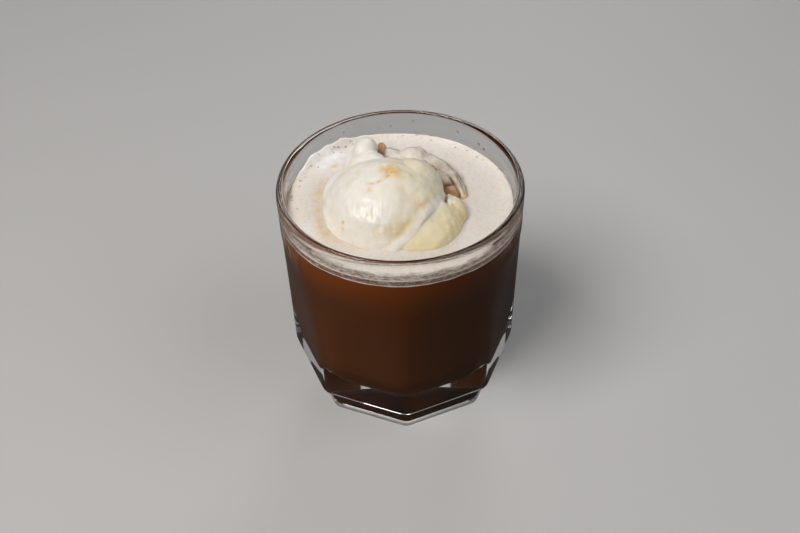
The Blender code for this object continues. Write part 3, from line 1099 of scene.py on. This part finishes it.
def wet_runs(points):
    """Fine ridges that run down the ball's wet front, in millimetres."""
    runs = np.stack([points[:, 0], points[:, 1] * 0.3, points[:, 2] * 0.35], axis=1)
    return 0.34 * wet_zone(points) * rough(runs, 1.1 * MM, 6.0)


def wet_zone(points):
    """Where the ball's front is wet with melt."""
    reach = (points - np.array(WET_CENTRE)) / np.array(WET_REACH) / MM
    return np.exp(-(reach ** 2).sum(axis=1))


def hollowness(mesh, rounds):
    """How far each point lies below its surroundings, in millimetres: creases are above 0."""
    points = mesh_points(mesh)
    pairs = np.zeros(len(mesh.edges) * 2, dtype=np.int64)
    mesh.edges.foreach_get("vertices", pairs)
    first, second = pairs.reshape(-1, 2).T
    count = np.bincount(first, minlength=len(points)) + np.bincount(second, minlength=len(points))
    level = points.copy()
    for _ in range(rounds):
        total = np.zeros_like(level)
        np.add.at(total, first, level[second])
        np.add.at(total, second, level[first])
        level = 0.5 * level + 0.5 * total / count[:, None]
    return np.einsum("ij,ij->i", level - points, mesh_normals(mesh)) / MM


def tree_of(mesh):
    """The mesh in a form that answers what a ray hits and what lies nearest."""
    return BVHTree.FromPolygons([v.co for v in mesh.vertices], [tuple(p.vertices) for p in mesh.polygons])


def camera_place(rise, distance):
    """Where the camera stands, at an angle above the table and a distance from what it looks at."""
    return CAMERA_AIM + Vector((0.0, -math.cos(rise), math.sin(rise))) * distance


def snapped(route, tree):
    """The route's stops moved onto the skin: along a line from the camera's place, or to the nearest."""
    viewpoint = camera_place(CAMERA_RISE, CAMERA_DISTANCE)
    stops = []
    for stop in route:
        stop = Vector(stop) * MM
        hit = tree.ray_cast(viewpoint, (stop - viewpoint).normalized())[0]
        if hit is None or (hit - stop).length > 4.0 * MM:
            hit = tree.find_nearest(stop)[0]
        stops.append(tuple(value / MM for value in hit))
    return stops


def paint_scoop(mesh):
    """Paint the masks that the ice cream's material reads."""
    tree = tree_of(mesh)
    points, normals = mesh_points(mesh), mesh_normals(mesh)
    crease = hollowness(mesh, 14)
    x, y, z = points.T / MM
    side, near, _ = beside_fold(points, normals)
    behind = smoothstep(0.0, 9.0, 0.45 * x + y - 8.0)
    rim = smoothstep(78.8, 77.2, z)
    paint(mesh, "vanilla", vanilla_share(points, side, near))
    paint(mesh, "melt", melt_share(points, tree, side, near) + 0.3 * rim)
    paint(mesh, "coffee", coffee_and_shade_share(points, tree, crease, behind))
    # Painted shade behind the ball, low down, stronger toward the right.
    grey = 0.55 + 0.45 * smoothstep(4.0, 16.0, x)
    paint(mesh, "soaked", grey * behind * smoothstep(85.0, 82.0, z) * smoothstep(-9.0, -5.0, x))
    # Painted shade in the creases, stronger the deeper the crease.
    paint(mesh, "crease", 5.0 * crease)
    lobe_side = smoothstep(12.0, 16.0, x) * smoothstep(2.0, -4.0, y)
    paint(mesh, "wet", wet_zone(points) + 0.5 * rim + 0.6 * lobe_side)


def vanilla_share(points, side, near):
    """Where the ice cream is yellower: the ball's middle and the lobe, but not the fold's lip, kept pale as a
    painted highlight.
    """
    x, y, z = points.T / MM
    # Painted highlight: the fold's lip stays cream-white so that it reads as lit.
    lip = smoothstep(-1.9, -0.5, side) * smoothstep(1.9, 1.3, side) * smoothstep(5.0, 3.0, near)
    middle = 0.50 * smoothstep(-9.0, 3.0, x) * smoothstep(22.0, 10.0, y)
    lobe = 0.42 * smoothstep(0.8, 9.0, side) * smoothstep(22.0, 14.0, near)
    low_lobe = 0.50 * smoothstep(0.8, 4.0, side) * smoothstep(84.5, 78.0, z)
    runs = np.stack([x * MM, y * MM * 0.5, z * MM * 0.25], axis=1)
    lobe *= 1.0 + 1.5 * smoothstep(11.0, 16.0, x) * rough(runs, 1.0 * MM, 21.0)
    return (middle + lobe + low_lobe) * (1.0 - lip)


def melt_share(points, tree, side, near):
    """Where golden melt lies: its run over the top, spots and hazes, the lobe's edge, and a golden line in
    the fold's groove that is painted shade.
    """
    x, y, z = points.T / MM
    melt = 1.1 * np.exp(-(gap_to(points, snapped(MELT_ROUTE, tree)) / 0.6) ** 2)
    melt *= 0.55 + 0.9 * np.clip(rough(points, 1.6 * MM, 17.0), -0.4, 0.5)
    for strength, spots in ((SPOT_STRENGTH, MELT_SPOTS), (HAZE_STRENGTH, MELT_HAZES)):
        for centre, size in spots:
            centre = np.array(snapped((centre,), tree)[0])
            melt += strength * np.exp(-(np.linalg.norm(points / MM - centre, axis=1) / size) ** 2)
    # Painted shade: a golden line in the groove before the fold's lip.
    melt += 0.22 * np.exp(-((side + 2.2) / 0.9) ** 2) * smoothstep(5.0, 3.0, near)
    edge = smoothstep(16.0, 22.0, x) * smoothstep(4.0, -4.0, y)
    return melt + 0.5 * edge * smoothstep(84.0, 79.0, z)


def coffee_and_shade_share(points, tree, crease, behind):
    """Where coffee stains the scoop and painted shade darkens it: creases behind it, the drawn lines, the
    pool and its foot.
    """
    z = points[:, 2] / MM
    # Painted shade mixed with coffee: creases behind the ball, the drawn lines, the cleft and the foot behind
    # it.
    coffee = 0.28 * behind * smoothstep(0.03, 0.20, crease)
    for height, stops, width, strength in COFFEE_AND_SHADE_LINES:
        route = snapped([(*stop, height) for stop in stops], tree)
        coffee += 0.6 * strength * np.exp(-(gap_to(points, route) / width) ** 2)
    coffee += 0.9 * np.exp(-(gap_to(points, CLEFT_ROUTE) / 2.0) ** 2)
    coffee += 0.8 * np.exp(-(gap_to(points, DRIP_ROUTE) / 0.8) ** 2)
    pool = np.linalg.norm((points - np.array(POOL_CENTRE)) / MM / np.array(POOL_REACH), axis=1)
    coffee += 0.9 * np.exp(-pool ** 2)
    return coffee + 0.8 * behind * smoothstep(78.6, 77.4, z)


def foam_lift(turns):
    """How far the foam climbs the wall: a little all round, and a bank of it at the back left."""
    away = (turns - FOAM_BANK_DIRECTION + math.pi) % (2.0 * math.pi) - math.pi
    uneven = 1.0 + 0.16 * np.sin(17.0 * turns + 1.3) + 0.12 * np.sin(31.0 * turns + 0.4)
    return FOAM_EDGE_LIFT + FOAM_BANK_LIFT * uneven * np.exp(-(away / FOAM_BANK_SPREAD) ** 2)


def cells_at(points, size):
    """Distance to the nearest cell centre, in cells of about the given size."""
    return np.array([noise.voronoi(Vector(point) / size)[0][0] for point in points])


def foam_top_rings(turns, step, scoop_tree):
    """Rings of the foam's top from the wall inward, with its bank, waves and edge at the scoop."""
    rings = []
    edge = HOLLOW_TOP_RADIUS + WALL_WETTING
    lift = foam_lift(turns)
    insets = [inset * MM for inset in EDGE_INSETS]
    while edge - insets[-1] > 3.0 * step:
        insets.append(insets[-1] + step)
    for inset in insets:
        follow = max(0.0, 1.0 - inset / (3.0 * MM))
        radii = edge - inset + follow * (wall_radius(FOAM_LEVEL + lift) - HOLLOW_TOP_RADIUS)
        circle = points_round(radii, turns, 0.0)
        climb = 0.8 * math.exp(-(inset / FOAM_CLIMB) ** 2) + 0.2 * math.exp(-inset / (3.0 * FOAM_CLIMB))
        height = FOAM_LEVEL + lift * climb
        height += 0.12 * MM * rough(circle, 9.0 * MM, 4.0) + 0.04 * MM * rough(circle, 1.6 * MM, 9.0)
        banked = np.clip(lift * climb / FOAM_BANK_LIFT, 0.0, 1.0)
        height += 0.55 * MM * banked * (0.45 - cells_at(circle, 1.5 * MM))
        circle[:, 2] = height
        if inset > 2.0 * MM:
            circle[:, 2] += scoop_meniscus(circle, scoop_tree)
        rings.append(circle)
    return rings


def scoop_distance(points, scoop_tree):
    """How far each point is from the scoop."""
    return np.array([scoop_tree.find_nearest(Vector(point))[3] for point in points])


def coffee_line(points):
    """Where a thin line of coffee, darkened with painted shade, not a rim of foam, borders the scoop: behind
    it and at its right.
    """
    x, y = points[:, 0] / MM, points[:, 1] / MM
    turn = np.degrees(np.arctan2(x - 2.0, -(y - 2.0)))
    back = smoothstep(62.0, 84.0, turn) + smoothstep(-152.0, -163.0, turn)
    return np.clip(back, 0.0, 1.0)


def scoop_meniscus(points, scoop_tree):
    """How far the foam climbs the scoop, or dips into a line of coffee beside it."""
    distance = scoop_distance(points, scoop_tree)
    dry = coffee_line(points)
    rise = 0.45 * MM * np.exp(-distance / (0.8 * MM))
    dip = -0.5 * MM * np.exp(-(distance / (0.8 * MM)) ** 2)
    return rise * (1.0 - dry) + dip * dry


def foam_mesh(count, step, scoop):
    """A disc of foam, cut round the scoop, closed below where it lies on the coffee."""
    turns = turns_round(count)
    tree = tree_of(scoop)
    low_radius = hollow_radius(FOAM_BOTTOM) + FOAM_WETTING
    low_sharpness = wall_sharpness(FOAM_BOTTOM)
    top_sharpness = wall_sharpness(FOAM_LEVEL)
    rings = [ring(FOAM_BOTTOM, low_radius * share, low_sharpness, turns) for share in (0.3, 0.6, 0.9)]
    for share in (0.0, 0.2, 0.4, 0.6, 0.8):
        height = FOAM_BOTTOM + (FOAM_LEVEL - FOAM_BOTTOM) * share
        sharpness = low_sharpness + (top_sharpness - low_sharpness) * share
        circle = ring(height, hollow_radius(height) + FOAM_WETTING, sharpness, turns)
        if share == 0.0:
            circle[:, 2] += 0.25 * MM * rough(circle, 4.0 * MM, 7.0)
        rings.append(circle)
    rings += foam_top_rings(turns, step, tree)
    mesh = loft("milk_foam", rings, (0.0, 0.0, FOAM_BOTTOM), (0.0, 0.0, FOAM_LEVEL))
    mesh = cut_by(mesh, scoop, SCOOP_OVERLAP)
    paint_foam(mesh, tree)
    return mesh


def paint_foam(mesh, scoop_tree):
    """Paint the masks that the foam's material reads."""
    points = mesh_points(mesh)
    x, y, z = points.T / MM
    paint(mesh, "side", smoothstep(37.4, 38.2, np.hypot(x, y)) * smoothstep(77.6, 77.2, z))
    distance = scoop_distance(points, scoop_tree) / MM
    # Painted shade with coffee: dark beside the scoop behind it and at its right, and at the cleft.
    cleft = np.exp(-(((x + 5.6) / 1.9) ** 2 + ((y - 31.0) / 3.8) ** 2))
    paint(mesh, "coffee", 0.85 * coffee_line(points) * np.exp(-(distance / 0.75) ** 2) + 0.6 * cleft)
    # Painted light: the bank at the back left is whiter, as it catches the light.
    bank = np.exp(-(((x + 25.0) / 9.0) ** 2 + ((y - 24.0) / 8.0) ** 2))
    paint(mesh, "milky", bank * (0.75 + 0.6 * rough(points, 2.2 * MM, 15.0)))
    left = smoothstep(-10.0, -24.0, x) * smoothstep(24.0, 10.0, np.abs(y + 4.0))
    near_scoop = np.exp(-((distance - 1.6) / 1.8) ** 2)
    patches = np.clip(rough(points, 3.2 * MM, 11.0) * 1.6, 0.0, 1.0)
    spot = np.exp(-(np.hypot((x + 23.2) / 1.4, (y - 20.2) / 0.9)) ** 2)
    paint(mesh, "ochre", 0.7 * left * near_scoop * (0.4 + patches) + 0.9 * spot)


def coffee_mesh(count, scoop):
    """The coffee up to the foam, wetting the wall, cut round the scoop."""
    turns = turns_round(count)
    top = FOAM_BOTTOM + COFFEE_OVERLAP
    rings = []
    for height, radius, sharpness in hollow_stations(top, 18):
        drop = WALL_WETTING * max(0.0, HOLLOW_WALL_FOOT - height) / HOLLOW_FLOOR_ROUNDING
        rings.append(ring(height - drop, radius + WALL_WETTING, sharpness, turns))
    rings += [ring(top, hollow_radius(top) * share, wall_sharpness(top), turns) for share in (0.9, 0.6, 0.3)]
    floor = (0.0, 0.0, HOLLOW_FLOOR - WALL_WETTING)
    mesh = cut_by(loft("milky_coffee", rings, floor, (0.0, 0.0, top)), scoop, SCOOP_OVERLAP)
    paint_coffee(mesh)
    return mesh


def paint_coffee(mesh):
    """Paint where cream lies on the wall, and painted shade where the coffee is darker, to the right."""
    points = mesh_points(mesh)
    turn = np.degrees(np.arctan2(points[:, 0], -points[:, 1]))
    z = points[:, 2] / MM
    left = np.exp(-((turn + 78.0) / 13.0) ** 2) * smoothstep(62.0, 73.0, z)
    right = 0.5 * np.exp(-((turn - 72.0) / 16.0) ** 2) * smoothstep(70.0, 74.0, z)
    paint(mesh, "cream", 0.9 * left + right)
    # Painted shade: darker toward the right, where the light falls off.
    paint(mesh, "dark", 0.75 * smoothstep(-30.0, 55.0, turn) * smoothstep(175.0, 120.0, turn))


def glass_mesh(rim_radius, count):
    """The tumbler, from under its foot up the outside, over the lip and down the hollow."""
    ledge = (SHOULDER_HEIGHT - SHOULDER_ROUNDING, SHOULDER_CORNER_RADIUS - SHOULDER_ROUNDING)
    shoulder = (SHOULDER_HEIGHT, SHOULDER_CORNER_RADIUS)
    body_top = (GLASS_TOP - LIP_THICKNESS, rim_radius)
    stations = [(*spot, FOOT_SHARPNESS) for spot in foot_outline()]
    stations += [(*spot, SHOULDER_SHARPNESS) for spot in quarter(ledge, shoulder, 8)[:-1]]
    stations += wall_stations(shoulder, body_top, 36)
    middle = rim_radius - 0.5 * LIP_THICKNESS
    for step in range(1, LIP_STEPS + 1):
        turn = math.pi * step / LIP_STEPS
        radius = middle + 0.5 * LIP_THICKNESS * math.cos(turn)
        stations.append((body_top[0] + LIP_THICKNESS * math.sin(turn), radius, ROUND))
    stations += reversed(hollow_stations(FOAM_LEVEL, 30))
    turns = turns_round(count)
    rings = [ring(*station, turns) for station in stations]
    return loft("tumbler", rings, (0.0, 0.0, FOOT_RECESS), (0.0, 0.0, HOLLOW_FLOOR))


def foot_outline():
    """(height, corner radius) from the recess under the foot, over its ring and up its side."""
    foot_edge = (0.0, FOOT_CORNER_RADIUS - FOOT_EDGE_ROUNDING)
    foot_side = (FOOT_EDGE_ROUNDING, FOOT_CORNER_RADIUS)
    ring_inner = foot_edge[1] - FOOT_RING_WIDTH
    recess_edge = ring_inner - FOOT_RECESS
    outline = [(FOOT_RECESS, recess_edge * share) for share in RECESS_SHARES]
    outline.append((0.5 * FOOT_RECESS, ring_inner - RING_HOLD))
    outline += [(0.0, ring_inner), (0.0, ring_inner + RING_HOLD), (0.0, foot_edge[1] - RING_HOLD)]
    outline += quarter(foot_edge, foot_side, 8)
    outline.append((FOOT_EDGE_ROUNDING + STEP_HOLD, FOOT_CORNER_RADIUS))
    outline.append((FOOT_HEIGHT - STEP_HOLD, FOOT_CORNER_RADIUS))
    outline.append((FOOT_HEIGHT, FOOT_CORNER_RADIUS + 0.1 * MM))
    return outline


def shared_mesh(name):
    """The mesh of a piece that another operator has made."""
    if name not in bpy.data.objects:
        raise RuntimeError(f"{name} has to be built first")
    return bpy.data.objects[name].data


def film_mesh(count):
    """A thin ragged skin on the wall above the foam, reaching just into the glass."""
    turns = turns_round(count)
    around = np.degrees((turns + math.pi) % (2.0 * math.pi) - math.pi)
    reach = np.interp(around, *zip(*FILM_REACH)) * MM
    circle = points_round(38.0 * MM, turns, 0.0)
    reach *= 1.0 + 0.22 * rough(circle, 5.0 * MM, 2.0) + 0.12 * rough(circle, 1.5 * MM, 3.0)
    upward = [step / FILM_STEPS for step in range(FILM_STEPS + 1)]
    sides = [(share, -FILM_THICKNESS * (1.0 - 0.7 * share)) for share in upward]
    sides += [(share, 0.6 * WALL_WETTING) for share in reversed(upward)]
    rings = []
    for share, outward in sides:
        heights = FOAM_LEVEL - FILM_TUCK + (reach + FILM_TUCK) * share
        rings.append(points_round(wall_radius(heights) + outward, turns, heights))
    faces = []
    for row in range(len(rings)):
        low, high = row * count, (row + 1) % len(rings) * count
        for i in range(count):
            j = (i + 1) % count
            faces.append((low + j, low + i, high + i, high + j))
    mesh = bpy.data.meshes.new("foam_film")
    mesh.from_pydata(np.concatenate(rings).tolist(), [], faces)
    mesh.update()
    mesh.shade_smooth()
    paint(mesh, "share", np.repeat([share for share, _ in sides], count))
    return mesh


def bubble_draw(draw, edge):
    """Turn, distance from the middle and size of one bubble, along the foam's edge."""
    if draw.random() < BUBBLES_BY_THE_BANK:
        turn = FOAM_BANK_DIRECTION + draw.gauss(0.0, 0.7)
    else:
        turn = draw.uniform(-3.14, 3.14)
    radius = edge - abs(draw.gauss(0.0, 1.5)) * MM - 0.5 * MM
    return turn, radius, draw.uniform(0.18, 0.42) * MM


def pinhole_draw(draw, edge):
    """Turn, distance from the middle and size of one pinhole, anywhere on the foam or in a cluster."""
    turn = draw.uniform(-math.pi, math.pi)
    radius = edge * math.sqrt(draw.uniform(0.35, 0.97))
    size = draw.uniform(0.06, 0.14) * MM
    if draw.random() < CLUSTERED_PINHOLES:
        middle, spread = draw.choice(PINHOLE_CLUSTERS)
        turn = math.radians(draw.gauss(middle, spread))
        radius = draw.uniform(26.0, 32.0) * MM
    return turn, radius, size


def foam_spot(foam_tree, scoop_tree, turn, radius):
    """The spot on the foam's top at a turn and radius, or None where there is no foam clear of the scoop."""
    above = Vector((radius * math.sin(turn), -radius * math.cos(turn), GLASS_TOP))
    spot = foam_tree.ray_cast(above, Vector((0.0, 0.0, -1.0)))[0]
    if spot is None or scoop_tree.find_nearest(spot)[3] < CLEAR_OF_THE_SCOOP:
        return None
    return spot


def blob_into(bm, centre, radii, turn, squash_below):
    """A small rounded bead whose lower half is flattened onto what it lies on."""
    matrix = Matrix.Translation(centre) @ Matrix.Rotation(turn, 4, "Z")
    made = bmesh.ops.create_icosphere(bm, subdivisions=2, radius=1.0)["verts"]
    for vert in made:
        vert.co.x *= radii[0]
        vert.co.y *= radii[1]
        vert.co.z *= radii[2] * (1.0 if vert.co.z > 0.0 else squash_below)
    bmesh.ops.transform(bm, matrix=matrix, verts=made)


# Operators


class AFFOGATO_OT_glass(bpy.types.Operator):
    """Build the eight-sided tumbler."""

    bl_idname = "affogato.glass"
    bl_label = "Tumbler"

    def execute(self, context):
        glass = context.scene.affogato_glass
        mesh = glass_mesh(glass.rim_radius, glass.ring_points)
        material = glass_material("clear pressed glass", tuple(glass.tint), glass.refraction, 0.05 * MM)
        place("tumbler", mesh, material, node="glass", slot="glass")
        return {"FINISHED"}


class AFFOGATO_OT_scoop(bpy.types.Operator):
    """Build the scoop of vanilla ice cream."""

    bl_idname = "affogato.scoop"
    bl_label = "Scoop"

    def execute(self, context):
        scoop = context.scene.affogato_scoop
        mesh = scoop_mesh(scoop.voxel)
        paint_scoop(mesh)
        place("vanilla_scoop", mesh, scoop_material(scoop), node="ice_cream", slot="ice_cream")
        return {"FINISHED"}


class AFFOGATO_OT_coffee(bpy.types.Operator):
    """Build the milky coffee."""

    bl_idname = "affogato.coffee"
    bl_label = "Coffee"

    def execute(self, context):
        drink = context.scene.affogato_drink
        mesh = coffee_mesh(context.scene.affogato_glass.ring_points, shared_mesh("vanilla_scoop"))
        place("milky_coffee", mesh, coffee_material(drink), node="coffee", slot="coffee")
        return {"FINISHED"}


class AFFOGATO_OT_foam(bpy.types.Operator):
    """Build the layer of milk foam."""

    bl_idname = "affogato.foam"
    bl_label = "Foam"

    def execute(self, context):
        drink = context.scene.affogato_drink
        mesh = foam_mesh(drink.foam_ring_points, drink.foam_step, shared_mesh("vanilla_scoop"))
        place("milk_foam", mesh, foam_material(drink), node="foam", slot="foam")
        return {"FINISHED"}


class AFFOGATO_OT_film(bpy.types.Operator):
    """Leave a thin film of foam on the wall above the drink."""

    bl_idname = "affogato.film"
    bl_label = "Film on the wall"

    def execute(self, context):
        drink = context.scene.affogato_drink
        mesh = film_mesh(context.scene.affogato_glass.ring_points)
        place("foam_film", mesh, film_material(drink), slot="foam")
        return {"FINISHED"}


class AFFOGATO_OT_bubbles(bpy.types.Operator):
    """Scatter bubbles along the foam's edge and pinholes over its top."""

    bl_idname = "affogato.bubbles"
    bl_label = "Bubbles"

    def execute(self, context):
        small = context.scene.affogato_small
        draw = random.Random(11)
        foam, scoop = tree_of(shared_mesh("milk_foam")), tree_of(shared_mesh("vanilla_scoop"))
        edge = hollow_radius(FOAM_LEVEL)
        chosen = []
        for x, y, size in BUBBLE_PLACES:
            chosen.append((math.atan2(x * MM, -y * MM), math.hypot(x * MM, y * MM), size * MM))
        chosen += [bubble_draw(draw, edge) for _ in range(small.bubbles)]
        bubbles = bmesh.new()
        for turn, radius, size in chosen:
            spot = foam_spot(foam, scoop, turn, radius)
            if spot is not None:
                blob_into(bubbles, spot, (size, size, 0.7 * size), turn, 0.4)
        holes = bmesh.new()
        for _ in range(small.pinholes):
            turn, radius, size = pinhole_draw(draw, edge)
            spot = foam_spot(foam, scoop, turn, radius)
            if spot is not None:
                blob_into(holes, spot, (size, size * draw.uniform(0.6, 1.0), 0.12 * size), turn, 1.0)
        for name, bm, material in (
            ("edge_bubbles", bubbles, bubble_material()),
            ("foam_pinholes", holes, liquid_material("pinhole brown", srgb(184, 160, 138), 0.5)),
        ):
            mesh = mesh_from(name, bm)
            mesh.shade_smooth()
            place(name, mesh, material, slot="foam")
        return {"FINISHED"}


class AFFOGATO_OT_pools(bpy.types.Operator):
    """Lay thin pools of coffee in the hollows of the scoop and behind it."""

    bl_idname = "affogato.pools"
    bl_label = "Coffee pools"

    def execute(self, context):
        bm = bmesh.new()
        for pool in POOLS:
            ellipsoid_into(bm, *pool, segments=48)
        mesh = fused("coffee_pools", bm, 0.25 * MM, 2)
        material = liquid_material("pooled coffee", srgb(148, 106, 62), 0.45)
        place("coffee_pools", mesh, material, slot="coffee")
        return {"FINISHED"}


class AFFOGATO_OT_droplets(bpy.types.Operator):
    """Set droplets on the inside of the wall above the foam."""

    bl_idname = "affogato.droplets"
    bl_label = "Droplets"

    def execute(self, context):
        draw = random.Random(5)
        bm = bmesh.new()
        for index in range(context.scene.affogato_small.droplets):
            if index < len(DROPLET_PLACES):
                turn, height = DROPLET_PLACES[index]
                turn, height, size = math.radians(turn), height * MM, BIG_DROPLET
            else:
                turn = draw.uniform(-math.pi, math.pi)
                height = FOAM_LEVEL + draw.uniform(1.0, 5.5) * MM
                size = draw.uniform(0.12, 0.3) * MM
            matrix = Matrix.Rotation(turn, 4, "Z") @ Matrix.Translation((0.0, -wall_radius(height), height))
            matrix = matrix @ Matrix.Diagonal((size, 0.45 * size, size * draw.uniform(1.0, 1.3), 1.0))
            bmesh.ops.create_icosphere(bm, subdivisions=3, radius=1.0, matrix=matrix)
        mesh = mesh_from("wall_droplets", bm)
        mesh.shade_smooth()
        material = glass_material("thin milky droplet", (0.93, 0.9, 0.86), 1.33, 0.01 * MM)
        place("wall_droplets", mesh, material, slot="foam")
        return {"FINISHED"}


class AFFOGATO_OT_stage(bpy.types.Operator):
    """Set the floor, the lights and the camera."""

    bl_idname = "affogato.stage"
    bl_label = "Stage"

    def execute(self, context):
        stage = context.scene.affogato_stage
        self.add_floor(stage)
        self.add_world(context.scene)
        self.add_light("key", (-0.50, -0.38, 0.90), 0.58, stage.key_power, (1.0, 0.985, 0.96))
        self.add_light("fill", (0.60, -0.20, 0.75), 0.70, stage.fill_power, (0.95, 0.97, 1.0))
        self.add_light("back", (0.12, 0.60, 0.45), 0.22, stage.back_power, (0.97, 0.98, 1.0))
        self.add_camera(context.scene, stage)
        context.scene.view_settings.view_transform = "Standard"
        return {"FINISHED"}

    def add_floor(self, stage):
        """A wide round floor at the foot's height."""
        bm = bmesh.new()
        bmesh.ops.create_circle(bm, cap_ends=True, segments=96, radius=FLOOR_REACH)
        floor = bpy.data.objects.new("floor", mesh_from("floor", bm))
        bpy.context.scene.collection.objects.link(floor)
        floor.data.materials.append(floor_material(stage))

    def add_world(self, scene):
        """Even studio grey where it is seen, and dim light from all round otherwise."""
        world = bpy.data.worlds.new("studio")
        world.use_nodes = True
        scene.world = world
        nodes = Nodes(world.node_tree)
        height = nodes.height(nodes.add("ShaderNodeTexCoord").outputs["Generated"])
        sky = nodes.blend(nodes.ramp(height, -0.05, 0.55), (0.07, 0.07, 0.07), (0.015, 0.015, 0.016))
        background = world.node_tree.nodes["Background"]
        nodes.join(nodes.blend(seen_through(nodes)[1], sky, STUDIO_GREY), background.inputs["Color"])

    def add_light(self, name, place, size, power, color):
        """A square soft light that faces what the camera looks at."""
        data = bpy.data.lights.new(name, "AREA")
        data.shape = "SQUARE"
        data.size = size
        data.energy = power
        data.color = color
        light = bpy.data.objects.new(name, data)
        bpy.context.scene.collection.objects.link(light)
        toward = (CAMERA_AIM - Vector(place)).to_track_quat("-Z", "Y").to_matrix().to_4x4()
        light.matrix_world = Matrix.Translation(place) @ toward

    def add_camera(self, scene, stage):
        """The camera, which stands in front of the glass and looks down on it."""
        data = bpy.data.cameras.new("camera")
        data.lens = stage.lens
        data.sensor_width = SENSOR_WIDTH
        data.clip_start = 0.01
        camera = bpy.data.objects.new("camera", data)
        scene.collection.objects.link(camera)
        place = camera_place(stage.camera_height, stage.camera_distance)
        toward = (CAMERA_AIM - place).to_track_quat("-Z", "Y").to_matrix().to_4x4()
        camera.matrix_world = Matrix.Translation(place) @ toward @ Matrix.Rotation(-stage.camera_roll, 4, "Z")
        scene.camera = camera


class AFFOGATO_PT_builder(bpy.types.Panel):
    """Lists the steps that build the affogato."""

    bl_idname = "AFFOGATO_PT_builder"
    bl_label = "Affogato"
    bl_space_type = "VIEW_3D"
    bl_region_type = "UI"
    bl_category = "Affogato"

    def draw(self, context):
        for operator in OPERATORS:
            self.layout.operator(operator.bl_idname)
        for name in SETTINGS:
            settings = getattr(context.scene, name)
            box = self.layout.box()
            for prop in settings.bl_rna.properties:
                if prop.identifier not in ("rna_type", "name"):
                    box.prop(settings, prop.identifier)


SETTINGS = {
    "affogato_glass": GlassSettings,
    "affogato_drink": DrinkSettings,
    "affogato_scoop": ScoopSettings,
    "affogato_small": SmallSettings,
    "affogato_stage": StageSettings,
}
OPERATORS = (
    AFFOGATO_OT_scoop,
    AFFOGATO_OT_glass,
    AFFOGATO_OT_coffee,
    AFFOGATO_OT_foam,
    AFFOGATO_OT_film,
    AFFOGATO_OT_bubbles,
    AFFOGATO_OT_pools,
    AFFOGATO_OT_droplets,
    AFFOGATO_OT_stage,
)


def register():
    """Make the settings, the operators and the panel known."""
    for cls in (*SETTINGS.values(), *OPERATORS, AFFOGATO_PT_builder):
        bpy.utils.register_class(cls)
    for name, cls in SETTINGS.items():
        setattr(bpy.types.Scene, name, PointerProperty(type=cls))


def unregister():
    """Take the settings, the operators and the panel away again."""
    for name in SETTINGS:
        delattr(bpy.types.Scene, name)
    for cls in reversed((*SETTINGS.values(), *OPERATORS, AFFOGATO_PT_builder)):
        bpy.utils.unregister_class(cls)


def main():
    """Build every piece in order."""
    register()
    for operator in OPERATORS:
        group, name = operator.bl_idname.split(".")
        getattr(getattr(bpy.ops, group), name)()


if __name__ == "__main__":
    main()
